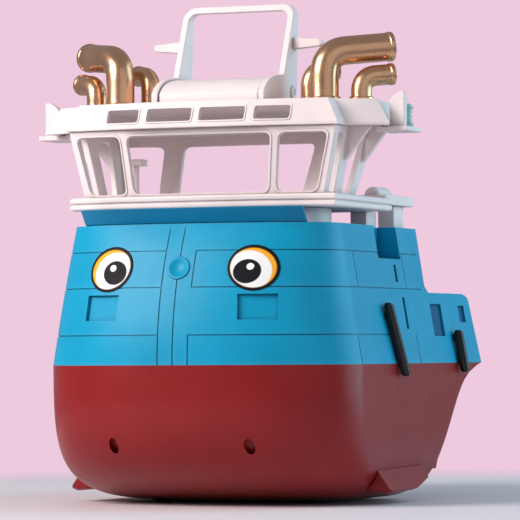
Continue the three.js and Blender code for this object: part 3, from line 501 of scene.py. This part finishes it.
def blue_form(inset, bottom=SEAM_Z, top=RIM_Z):
    levels = 20
    heights = [SEAM_Z + (RIM_Z - SEAM_Z) * i / levels for i in range(levels + 1)]
    rings = [hull_ring(z, inset) for z in heights]
    rings[0] = hull_ring(SEAM_Z, inset, bottom)
    rings[-1] = hull_ring(RIM_Z, inset, top)
    return loft("cutter", rings)


def engraver(cutter, depth):
    """Limits a cutter to a depth below the blue skin."""
    return combine(cutter, [blue_form(depth, SEAM_Z - 1, RIM_Z + 1)], "DIFFERENCE")


# ---- red hull -----------------------------------------------------------------------------
# Every cutter runs at least 1 mm past what it cuts. The well's runs along y, over its reach.
WELL = {
    "x": 37.1,
    "z": 31.3,
    "half_width": 2.75,
    "half_height": 4,
    "depth": 1.6,
    "reach": (-127, -97),
}
WHEEL_ROOM = {"gap": 1.2, "wall": 2.8, "roof": 20, "top": 22}


def oval_well(side):
    """A plug that sinks an oval well into the red bow."""
    steps = 40
    turns = [2 * math.pi * i / steps for i in range(steps)]
    across = [side * WELL["x"] + WELL["half_width"] * math.cos(turn) for turn in turns]
    up = [WELL["z"] + WELL["half_height"] * math.sin(turn) for turn in turns]
    rings = [[(x, y, z) for x, z in zip(across, up)] for y in WELL["reach"]]
    return combine(loft("cutter", rings), [red_form(WELL["depth"], SEAM_Z + 4)], "DIFFERENCE")


def wheel_boxes(margin, low_z, high_z):
    """A box round each running wheel, grown sideways and lengthways by a margin."""
    boxes = []
    for end in ("front", "rear"):
        for name in SIDES:
            low, high = (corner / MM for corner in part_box(f"wheel_{end}_{name}"))
            low_corner = (low.x - margin, low.y - SHIFT_Y - margin, low_z)
            boxes.append(box(low_corner, (high.x + margin, high.y - SHIFT_Y + margin, high_z)))
    return boxes


def red_hull():
    hull = combine(red_form(0, SEAM_Z), [red_form(HULL_WALL, SEAM_Z + 4)], "DIFFERENCE")
    combine(hull, [oval_well(side) for side in SIDES.values()], "DIFFERENCE")
    blocks = wheel_boxes(WHEEL_ROOM["gap"] + WHEEL_ROOM["wall"], 0, WHEEL_ROOM["top"])
    blocks = [combine(block, [red_form(0, SEAM_Z)], "INTERSECT") for block in blocks]
    combine(hull, blocks, "UNION")
    combine(hull, wheel_boxes(WHEEL_ROOM["gap"], -1, WHEEL_ROOM["roof"]), "DIFFERENCE")
    hull.name = "red_hull"
    return settle(hull, ["hull_bottom"], RED)


# ---- blue hull ----------------------------------------------------------------------------
STRAKES_Z = [87, 111, 129.5]
BOW_BAND = 8.2  # half-width of the plain band up the stem
LINE = 0.35  # half the width of an engraved line
LINE_DEPTH = 0.5
STRAKE_END = {"high": STEP_Y - 6, "low": -24}
BOW_LINES_END = -60  # inside the hull, where engraver() takes the rest away
BULKHEAD = {"foot": 92, "below_rim": 3}


def engraved_lines():
    lines = []
    for z in STRAKES_Z:
        aft = STRAKE_END["high" if z > LOW_RIM_Z else "low"]
        for side in SIDES.values():
            x0, x1 = sorted((side * BOW_BAND, side * BEYOND))
            lines.append(box((x0, AHEAD, z - LINE), (x1, aft, z + LINE)))
    bow_lines = [  # x, and z from and to
        (-BOW_BAND, SEAM_Z - 1, RIM_Z + 5),
        (0, SEAM_Z - 1, RIM_Z + 5),
        (BOW_BAND, SEAM_Z - 1, STRAKES_Z[0]),
        (BOW_BAND, STRAKES_Z[1], STRAKES_Z[2]),
    ]
    for x, z0, z1 in bow_lines:
        lines.append(box((x - LINE, AHEAD, z0), (x + LINE, BOW_LINES_END, z1)))
    uprights = [  # y, and z from and to
        (-67, STRAKES_Z[1], STRAKES_Z[2]),
        (5.6, STRAKES_Z[1], STRAKES_Z[2]),
        (-79, SEAM_Z - 1, STRAKES_Z[0]),
        (9, SEAM_Z - 1, STRAKES_Z[0]),
    ]
    for y, z0, z1 in uprights:
        lines.append(box((-BEYOND, y - LINE, z0), (BEYOND, y + LINE, z1)))
    return [engraver(line, LINE_DEPTH) for line in lines]


POCKET_DEPTH = 1.6
POCKET_FLOOR = 0.3  # thickness of the darker panel on the floor, a sheet of painted shade
SCOOP = {"x": 42.4, "y": -115.2, "half_width": 10.2, "turn": 0.32, "z0": 94.6, "z1": 107.5}
SCOOP_DEPTH = 2.6


def pockets():
    spans = [  # y from and to, and z from and to
        (38, 55.5, 86.4, 103.5),
        (83.5, 93.5, 94, 103),
        (-3.8, -0.6, 90, 106.5),
        (-9, -5.8, 114.5, 123.5),
    ]
    return [
        engraver(box((-BEYOND, y0, z0), (BEYOND, y1, z1)), POCKET_DEPTH)
        for y0, y1, z0, z1 in spans
    ]


def pocket_shade_panels():
    """Thin darker panels on the floors of the pockets: painted shade in the recesses."""
    for i, pocket in enumerate(pockets()):
        panel = combine(pocket, [blue_form(POCKET_DEPTH - POCKET_FLOOR)], "INTERSECT")
        panel.name = f"pocket_floor_{i}"
        trim(panel, "hull", POCKET_SHADE_BLUE)


def scoops():
    """Wedge-shaped scoops under the eyes, deepest at the top."""
    low, high, ahead = SCOOP["z0"], SCOOP["z1"], -6
    outline = [(ahead, high), (SCOOP_DEPTH, high), (0, low), (ahead, low)]
    found = []
    for side in SIDES.values():
        scoop = prism_across(outline, -SCOOP["half_width"], SCOOP["half_width"])
        turn = Matrix.Rotation(side * SCOOP["turn"], 4, "Z")
        middle = Vector((side * SCOOP["x"], SCOOP["y"], 0)) * MM
        shift = Matrix.Translation((0, SHIFT_Y * MM, 0))
        scoop.data.transform(shift @ Matrix.Translation(middle) @ turn @ shift.inverted())
        found.append(scoop)
    return found


def niche_room(side):
    x0, x1 = sorted((side * (NICHE["x"] + NICHE["wall"]), side * BEYOND))
    return box((x0, NICHE["y0"], NICHE["z0"]), (x1, NICHE["y1"], RIM_Z + 5))


def niche_block(side):
    x0, x1 = sorted((side * NICHE["x"], side * BEYOND))
    wall = NICHE["wall"]
    block = box((x0, NICHE["y0"] - wall, NICHE["z0"] - wall), (x1, NICHE["y1"] + wall, RIM_Z))
    return combine(block, [blue_form(0)], "INTERSECT")


BUTTON = {"r": 6.1, "dish": 5, "y": -115.4, "z": 120.6, "tilt": 0.37}
SEAT = {"gap": 0.1, "depth": 1.4, "ahead": 7}


def button_seat():
    """A round seat in the stem, cut clear of the button and of the space ahead of it."""
    r, back, front = BUTTON["r"] + SEAT["gap"], -SEAT["depth"], SEAT["ahead"]
    seat = disc_solid([(0, back), (r, back), (r, front), (0, front)], "cutter")
    on_button(seat)
    return seat


def blue_hull():
    hull = combine(blue_form(0), [blue_form(HULL_WALL, SEAM_Z - 1, RIM_Z + 1)], "DIFFERENCE")
    low_corner = (-BEYOND, STEP_Y - HULL_WALL, BULKHEAD["foot"])
    high_corner = (BEYOND, STEP_Y, RIM_Z - BULKHEAD["below_rim"])
    bulkhead = combine(box(low_corner, high_corner), [blue_form(0)], "INTERSECT")
    combine(hull, [bulkhead, *(niche_block(side) for side in SIDES.values())], "UNION")
    aft_cut = [  # (y, z): down the raked step, along the low rim and round its aft corner
        (STEP_Y + 1.5, RIM_Z + 5),
        (STEP_Y + 0.5, 113),
        (STEP_Y + 5, LOW_RIM_Z),
        (94, LOW_RIM_Z),
        (99, LOW_RIM_Z - 0.8),
        (103, LOW_RIM_Z - 2.3),
        (106, LOW_RIM_Z - 4.6),
        (108, LOW_RIM_Z - 7),
        (HALF_LENGTH + 20, LOW_RIM_Z - 7),
        (HALF_LENGTH + 20, RIM_Z + 5),
    ]
    combine(hull, [prism_across(aft_cut, -BEYOND, BEYOND), button_seat()], "DIFFERENCE")
    combine(hull, [niche_room(side) for side in SIDES.values()], "DIFFERENCE")
    combine(hull, [*scoops(), *pockets(), *engraved_lines()], "DIFFERENCE")
    hull.name = "blue_hull"
    return settle(hull, ["hull_top"], BLUE)


# ---- turned pieces ------------------------------------------------------------------------
def disc_solid(profile, name, steps=56):
    """Turns a profile of (radius, height) pairs round z, in mm about the form's origin."""
    rings = []
    for radius, height in profile:
        ring = []
        reach = max(radius, 0.01)
        for i in range(steps):
            angle = 2 * math.pi * i / steps
            ring.append((reach * math.cos(angle), reach * math.sin(angle), height))
        rings.append(ring)
    return loft(name, rings)


def set_down(obj, centre, turn=None):
    """Moves a turned piece, made about the form's origin, to a centre in the row frame, in mm."""
    home = Matrix.Translation((0, -SHIFT_Y * MM, 0))
    turn = turn or Matrix.Identity(4)
    obj.data.transform(Matrix.Translation(Vector(centre) * MM) @ turn @ home)


def on_button(obj):
    """Sets a turned piece down on the stem, at the button's place and tilt."""
    turn = Matrix.Rotation(math.pi / 2 - BUTTON["tilt"], 4, "X")
    set_down(obj, (0, BUTTON["y"] + SHIFT_Y, BUTTON["z"]), turn)


def bow_button():
    r, dish = BUTTON["r"], BUTTON["dish"]
    back, front, bowl_depth = -1.3, 1.1, 1.4
    rim = [(0, back), (r - 0.2, back), (r, back + 0.2), (r, 0.6), (r - 0.1, 0.9)]
    rim += [(r - 0.4, 1.08), (dish + 0.2, front)]
    shares = (1, 0.92, 0.8, 0.6, 0.4, 0.2, 0)
    bowl = [(dish * share, front - bowl_depth * (1 - share * share)) for share in shares]
    button = disc_solid(rim + bowl, "bow_button.piece")
    on_button(button)
    return settle(button, ["bow_button"], BLUE)


def box_middle(node):
    low, high = (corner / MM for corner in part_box(node))
    return (low + high) / 2, high - low


def nav_lamp(name):
    middle, size = box_middle(f"nav_lamp_{name}")
    base = middle.z - size.z / 2
    r, low, ribs, rib_depth, spacing = 2.6, 2.6, 13, 0.12, 0.56
    lens = [(r - rib_depth * (i % 2), low + i * spacing) for i in range(ribs)]
    foot = [(0, 0), (3.1, 0), (3.2, 0.2), (3.2, 1.8), (3.0, 2.1)]
    cap = [(3.1, 10.0), (3.2, 10.3), (2.6, 11.8), (1.4, 12.3), (0, 12.4)]
    lamp = disc_solid([*foot, *lens, *cap], f"nav_lamp_{name}.piece")
    set_down(lamp, (middle.x, middle.y, base))
    return settle(lamp, [f"nav_lamp_{name}"], LAMP)


def wheel(node):
    """A wheel with a ribbed tread and a dished hub."""
    middle, size = box_middle(node)
    half, r = size.x / 2, size.z / 2
    inset, ribs, rib_depth = 1.2, 8, 0.35
    spacing = (2 * half - 2 * inset) / ribs
    tread = [(r - rib_depth * (i % 2), -half + inset + i * spacing) for i in range(ribs + 1)]
    face = [(0, -half + inset), (r * 0.55, -half + inset), (r * 0.65, -half)]
    face += [(r - 0.9, -half), (r - 0.2, -half + 0.5)]
    back = [(radius, -height) for radius, height in reversed(face)]
    obj = disc_solid([*face, *tread, *back], f"{node}.piece")
    set_down(obj, middle, Matrix.Rotation(math.pi / 2, 4, "Y"))
    return settle(obj, [node], WHEEL)


def round_bar(node, material):
    """A rod across the boat with chamfered ends, for the axles and the mast pin."""
    middle, size = box_middle(node)
    half, r = size.x / 2, size.z / 2
    chamfer = 0.3
    low_end = [(0, -half), (r - chamfer, -half), (r, -half + chamfer)]
    high_end = [(r, half - chamfer), (r - chamfer, half), (0, half)]
    obj = disc_solid(low_end + high_end, f"{node}.piece")
    set_down(obj, middle, Matrix.Rotation(math.pi / 2, 4, "Y"))
    return settle(obj, [node], material)


# ---- eyes and visor -----------------------------------------------------------------------
def skin_y(x, z):
    """How far forward the blue bow stands at x and height z."""
    across = 1 - TUMBLEHOME * (z - SEAM_Z) / HALF_BEAM
    share = min(1, abs(x) / across / HALF_BEAM)
    seam_y = -HALF_LENGTH + BOW_DEPTH * (1 - (1 - share**BOW_ROUNDNESS) ** (1 / BOW_ROUNDNESS))
    return hull_point((0, seam_y), z)[1]


def eye(name, side):
    """A thin oval pad that follows the bow, with a softened edge."""
    steps = 96
    rings = []
    tilt = -side * EYE["tilt"]
    profile = [(1.0, -0.3), (1.0, 0.28), (0.985, 0.44), (0.96, 0.5)]
    profile += [(share, 0.5) for share in (0.85, 0.7, 0.55, 0.4, 0.25, 0.1)]
    for share, proud in profile:
        ring = []
        for i in range(steps):
            angle = 2 * math.pi * i / steps
            along = EYE["half_width"] * share * math.cos(angle)
            up = EYE["half_height"] * share * math.sin(angle)
            x = side * EYE["x"] + along * math.cos(tilt) - up * math.sin(tilt)
            z = EYE["z"] + along * math.sin(tilt) + up * math.cos(tilt)
            ring.append((x, skin_y(x, z) - proud, z))
        rings.append(ring)
    pad = loft(f"eye_{name}.piece", rings)
    return settle(pad, [f"eye_{name}"], eye_sticker(f"eye sticker {name}", side))


def bow_visor():
    """The flared bulwark on the rim, with a rounded top edge."""
    low, high = (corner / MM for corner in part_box("bow_visor"))
    flare, thick, tuck = 6.4, 2.4, 0.4
    half, middle_z, steps = high.x, (low.z + high.z) / 2, 72
    rings = []
    for i in range(steps + 1):
        x = half * (2 * i / steps - 1)
        y = skin_y(x, RIM_Z) + tuck
        rings.append(
            [
                (x, y, low.z),
                (x, y - flare * 0.5, middle_z),
                (x, y - flare, high.z),
                (x, y - flare + thick, high.z),
                (x, y - flare * 0.5 + thick, middle_z),
                (x, y + thick, low.z),
            ]
        )
    visor = loft("bow_visor.piece", rings)
    return settle(visor, ["bow_visor"], VISOR_SHADED_BLUE, bevel=0.5)


# ---- exhaust pipes ------------------------------------------------------------------------
PIPES = {
    "main": {"x": 57.2, "y": -59, "r": 7.35, "top": 231.6, "reach": 36.8, "bend": 12},
    "outer": {"x": 74.4, "y": -51, "r": 5.3, "top": 219, "reach": 17.5, "bend": 8},
    "inner": {"x": 45, "y": -47, "r": 5.1, "top": 223, "reach": 15, "bend": 8},
}
OUTLET_TURN = 0.68  # aft of square
OUTLET_RISE = 0.1
BEND_STEPS = 22
# Pairs of (mm up from the foot, mm added to the radius).
COLLAR = ((0, 0.7), (0.3, 1), (1.8, 1), (2.2, 0.7), (2.3, 0.05), (2.8, 0))
# Pairs of (mm back from the mouth, mm added to the radius).
BAND = ((2.7, 0), (2.5, 0.2), (2.3, 0.35), (0.4, 0.35), (0.12, 0.25), (0, 0), (0, -0.7))
BORE = ((0.2, -1.0), (1.0, -1.1), (9, -1.2))


def pipe_path(pipe, side):
    """Points and radii down the pipe, from its foot to its mouth and back down its bore."""
    foot = Vector((side * pipe["x"], pipe["y"], ROOF_TOP))
    knee = Vector((side * pipe["x"], pipe["y"], pipe["top"]))
    heading = Vector((side * math.cos(OUTLET_TURN), math.sin(OUTLET_TURN), OUTLET_RISE))
    heading.normalize()
    start = knee - Vector((0, 0, pipe["bend"]))
    end = knee + heading * pipe["bend"]
    mouth = knee + heading * pipe["reach"]
    r = pipe["r"]
    stops = [(foot + Vector((0, 0, up)), r + grow) for up, grow in COLLAR]
    for i in range(BEND_STEPS + 1):
        t = i / BEND_STEPS
        stops.append((start * (1 - t) ** 2 + knee * 2 * t * (1 - t) + end * t * t, r))
    stops += [(mouth - heading * back, r + grow) for back, grow in BAND + BORE]
    return stops, heading


def exhaust(size, name, side):
    """A pipe with a foot collar, a smooth elbow, a banded end and an open bore."""
    stops, heading = pipe_path(PIPES[size], side)
    steps = 48
    square = Vector((0, 0, 1)).cross(heading).normalized()
    bend_start = len(COLLAR)
    bend_end = bend_start + BEND_STEPS
    rings = []
    for i, (centre, radius) in enumerate(stops):
        if i <= bend_start:
            direction = Vector((0, 0, 1))
        elif i >= bend_end:
            direction = heading
        else:
            direction = (stops[i + 1][0] - stops[i - 1][0]).normalized()
        other = direction.cross(square).normalized()
        ring = []
        for k in range(steps):
            angle = 2 * math.pi * k / steps
            ring.append(centre + (square * math.cos(angle) + other * math.sin(angle)) * radius)
        rings.append([tuple(point) for point in ring])
    node = f"exhaust_{size}_{name}"
    return settle(loft(f"{node}.piece", rings), [node], GOLD)


# ---- raised frames round the openings -----------------------------------------------------
def rounded_corners(corners, radius, steps=6):
    points = []
    for i, corner in enumerate(corners):
        before, after = corners[i - 1], corners[(i + 1) % len(corners)]
        start = corner.lerp(before, radius / (corner - before).length)
        end = corner.lerp(after, radius / (corner - after).length)
        for k in range(steps + 1):
            t = k / steps
            points.append(start * (1 - t) ** 2 + corner * 2 * t * (1 - t) + end * t * t)
    return points


WINDOW = {"z0": 159.6, "z1": 189.4, "radius": 4, "border": 1.0}
SKYLIGHT = {"z0": 196.2, "z1": 203, "radius": 1.4, "border": 0.8}
FRAME_PROUD = 0.45  # ahead of the wall
FRAME_ROOT = -0.6  # sunk into it


def window_frame(name, foot, head, opening, face_y):
    """A raised rim round an opening. foot and head are its spans of x, face_y the wall's y."""
    z0, z1, border = opening["z0"], opening["z1"], opening["border"]
    corners = [Vector(pair) for pair in ((foot[0], z0), (foot[1], z0), (head[1], z1), (head[0], z1))]
    inner = rounded_corners(corners, opening["radius"])
    middle = sum(corners, Vector((0, 0))) / 4
    half_width = (max(c.x for c in corners) - min(c.x for c in corners)) / 2
    half_height = (z1 - z0) / 2
    grow = Vector((1 + border / half_width, 1 + border / half_height))
    outer = [middle + (point - middle) * grow for point in inner]
    section = (
        (inner, FRAME_ROOT),
        (inner, FRAME_PROUD),
        (outer, FRAME_PROUD),
        (outer, FRAME_ROOT),
    )
    rings = []
    for outline, proud in section:
        rings.append([(p.x, face_y(p.x, p.y) - proud, p.y) for p in outline])
    rim = mesh_object(name, [point for ring in rings for point in ring], bridge(rings, wrap=True))
    return trim(rim, "hull", WHITE, bevel=0.15)


WALL_Z = [158.4, 192.8]
WALL_FOOT_Y = [(0, -87.6), (38, -87.2), (66.5, -84)]
WALL_HEAD_Y = [(0, -91.6), (41, -91.2), (74, -87)]


def along_line(points, x):
    """y at x on a bent line, for x on either side of the boat."""
    x = abs(x)
    for (x0, y0), (x1, y1) in zip(points, points[1:]):
        if x <= x1:
            break
    return y0 + (y1 - y0) * (x - x0) / (x1 - x0)


def wall_y(x, z):
    share = (z - WALL_Z[0]) / (WALL_Z[1] - WALL_Z[0])
    return along_line(WALL_FOOT_Y, x) * (1 - share) + along_line(WALL_HEAD_Y, x) * share


def window_frames():
    spans = {
        "window_frame_middle": ([-37, 37], [-40, 40]),
        "window_frame_port": ([41.2, 62.5], [44, 69.8]),
        "window_frame_starboard": ([-62.5, -41.2], [-69.8, -44]),
    }
    for name, (foot, head) in spans.items():
        window_frame(name, foot, head, WINDOW, wall_y)


ROOF_Z = [194.4, 206.6]
ROOF_FOOT_Y = [(0, -96), (29.8, -95.5), (75.6, -88.6)]
ROOF_HEAD_Y = [(0, -90.8), (27.6, -90.3), (69, -84.5)]


def roof_y(x, z):
    share = (z - ROOF_Z[0]) / (ROOF_Z[1] - ROOF_Z[0])
    return along_line(ROOF_FOOT_Y, x) * (1 - share) + along_line(ROOF_HEAD_Y, x) * share


def skylight_frames():
    for name, side in SIDES.items():
        for which, (x0, x1) in {"inner": (2.2, 27), "outer": (32, 50.5)}.items():
            ends = sorted((side * x0, side * x1))
            window_frame(f"skylight_{which}_{name}", ends, ends, SKYLIGHT, roof_y)


# ---- the boat -----------------------------------------------------------------------------
def build_boat():
    red_hull()
    blue_hull()
    pocket_shade_panels()
    bow_button()
    bow_visor()
    window_frames()
    skylight_frames()
    for node in ("wheelhouse_base", "deckhouse", "boat_deck", "wheelhouse", "helm_stand", "roof"):
        refined(node, WHITE)
    for node in ("mast_housing", "mast_arch"):
        refined(node, WHITE, 0.5)
    for node in ("fore_deck", "aft_deck"):
        refined(node, DECK_BLUE, 0.2)
    round_bar("mast_pin", STEEL)
    for name, side in SIDES.items():
        eye(name, side)
        nav_lamp(name)
        for size in PIPES:
            exhaust(size, name, side)
        for part in ("deck_column", "deck_post", "canister", "light_screen", "mast_arm"):
            refined(f"{part}_{name}", WHITE)
        for part in ("bilge_fin", "stern_skeg"):
            refined(f"{part}_{name}", RED, 0.6)
        for end in ("front", "rear"):
            refined(f"fender_{end}_{name}", BLACK, 0.5)
            wheel(f"wheel_{end}_{name}")
    for end in ("front", "rear"):
        round_bar(f"axle_{end}", STEEL)


# ---- floor, light and camera --------------------------------------------------------------
BACKDROP = (0.86, 0.59, 0.73)
ROOM_LIGHT = (0.3, 0.3, 0.33)  # what the studio walls give back, however they look
FLOOR_FADE = (0.3, 0.5)  # metres from the origin over which the floor turns into the backdrop


def seen_directly(nodes):
    """1 for what the camera sees, 0 for light that bounces."""
    return nodes.add("ShaderNodeLightPath").outputs["Is Camera Ray"]


def studio_floor():
    """A pale table top that fades into the backdrop's colour."""
    nodes = Nodes("floor")
    length = nodes.add("ShaderNodeVectorMath", operation="LENGTH")
    nodes.link(nodes.where, length.inputs[0])
    fade = nodes.remap(length.outputs["Value"], 0, 1, *FLOOR_FADE)
    grain = nodes.remap(nodes.noise(30), 0, 1)
    table = nodes.mix(grain, (0.8, 0.71, 0.74), (0.815, 0.725, 0.755))
    nodes.link(table, nodes.surface.inputs["Base Color"])
    nodes.surface.inputs["Roughness"].default_value = 0.55
    glow = nodes.add("ShaderNodeEmission")
    nodes.link(nodes.mix(seen_directly(nodes), ROOM_LIGHT, BACKDROP), glow.inputs["Color"])
    blend = nodes.add("ShaderNodeMixShader")
    nodes.link(fade, blend.inputs[0])
    nodes.link(nodes.surface.outputs[0], blend.inputs[1])
    nodes.link(glow.outputs[0], blend.inputs[2])
    nodes.link(blend.outputs[0], nodes.tree.nodes["Material Output"].inputs["Surface"])
    bpy.ops.mesh.primitive_plane_add(size=12)
    floor = bpy.context.object
    floor.name = "floor"
    floor.data.materials.append(nodes.material)


def soft_light(name, where, size, power, colour=(1, 1, 1)):
    data = bpy.data.lights.new(name, "AREA")
    data.size = size
    data.energy = power
    data.color = colour
    lamp = bpy.data.objects.new(name, data)
    bpy.context.collection.objects.link(lamp)
    lamp.location = where
    target = Vector((0, 0, 0.12))
    lamp.rotation_euler = (target - lamp.location).to_track_quat("-Z", "Y").to_euler()


def studio_walls():
    world = bpy.data.worlds.new("studio")
    bpy.context.scene.world = world
    world.use_nodes = True
    tree = world.node_tree
    light_path = tree.nodes.new("ShaderNodeLightPath")
    mix = tree.nodes.new("ShaderNodeMix")
    mix.data_type = "RGBA"
    colours = [socket for socket in mix.inputs if socket.type == "RGBA"]
    for socket, colour in zip(colours, (ROOM_LIGHT, BACKDROP)):
        socket.default_value = (*colour, 1)
    result = [socket for socket in mix.outputs if socket.type == "RGBA"][0]
    tree.links.new(light_path.outputs["Is Camera Ray"], mix.inputs[0])
    tree.links.new(result, tree.nodes["Background"].inputs["Color"])


def studio():
    studio_floor()
    studio_walls()
    soft_light("key", (-0.75, -0.95, 0.75), size=0.7, power=20, colour=(1, 0.97, 0.95))
    soft_light("fill", (1.3, -1.2, 0.5), size=1.8, power=3.5)
    soft_light("rim", (0.85, 0.5, 0.45), size=0.9, power=8, colour=(0.45, 0.85, 1))
    bpy.context.scene.view_settings.view_transform = "Standard"


# A long lens off the port bow, at about the height of the seam. Angles are in degrees, distances
# in mm. The camera stands offset_angle further round than it looks.
VIEW = {
    "azimuth": 22,
    "offset_angle": 1.41,
    "pitch": 1.432,
    "roll": 0.315,
    "distance": 1800.54,
    "eye_height": 79.4,
}
LENS = 249.2


def camera():
    azimuth = math.radians(VIEW["azimuth"])
    to_stem = azimuth + math.radians(VIEW["offset_angle"])
    stem = Vector((0, RED_LOW.y, 0))
    spot = stem + Vector((math.sin(to_stem), -math.cos(to_stem), 0)) * VIEW["distance"]
    pitch, roll = math.radians(VIEW["pitch"]), math.radians(VIEW["roll"])
    ahead = Vector((-math.sin(azimuth), math.cos(azimuth), 0))
    forward = ahead * math.cos(pitch) + Vector((0, 0, math.sin(pitch)))
    right = Vector((math.cos(azimuth), math.sin(azimuth), 0))
    up = right.cross(forward)
    turned_right = right * math.cos(roll) - up * math.sin(roll)
    turned_up = up * math.cos(roll) + right * math.sin(roll)
    data = bpy.data.cameras.new("camera")
    data.lens = LENS
    data.clip_start = 0.05
    obj = bpy.data.objects.new("camera", data)
    bpy.context.collection.objects.link(obj)
    turn = Matrix((turned_right, turned_up, -forward)).transposed().to_4x4()
    obj.matrix_world = Matrix.Translation(Vector((spot.x, spot.y, VIEW["eye_height"])) * MM) @ turn
    bpy.context.scene.camera = obj


build_boat()
studio()
camera()
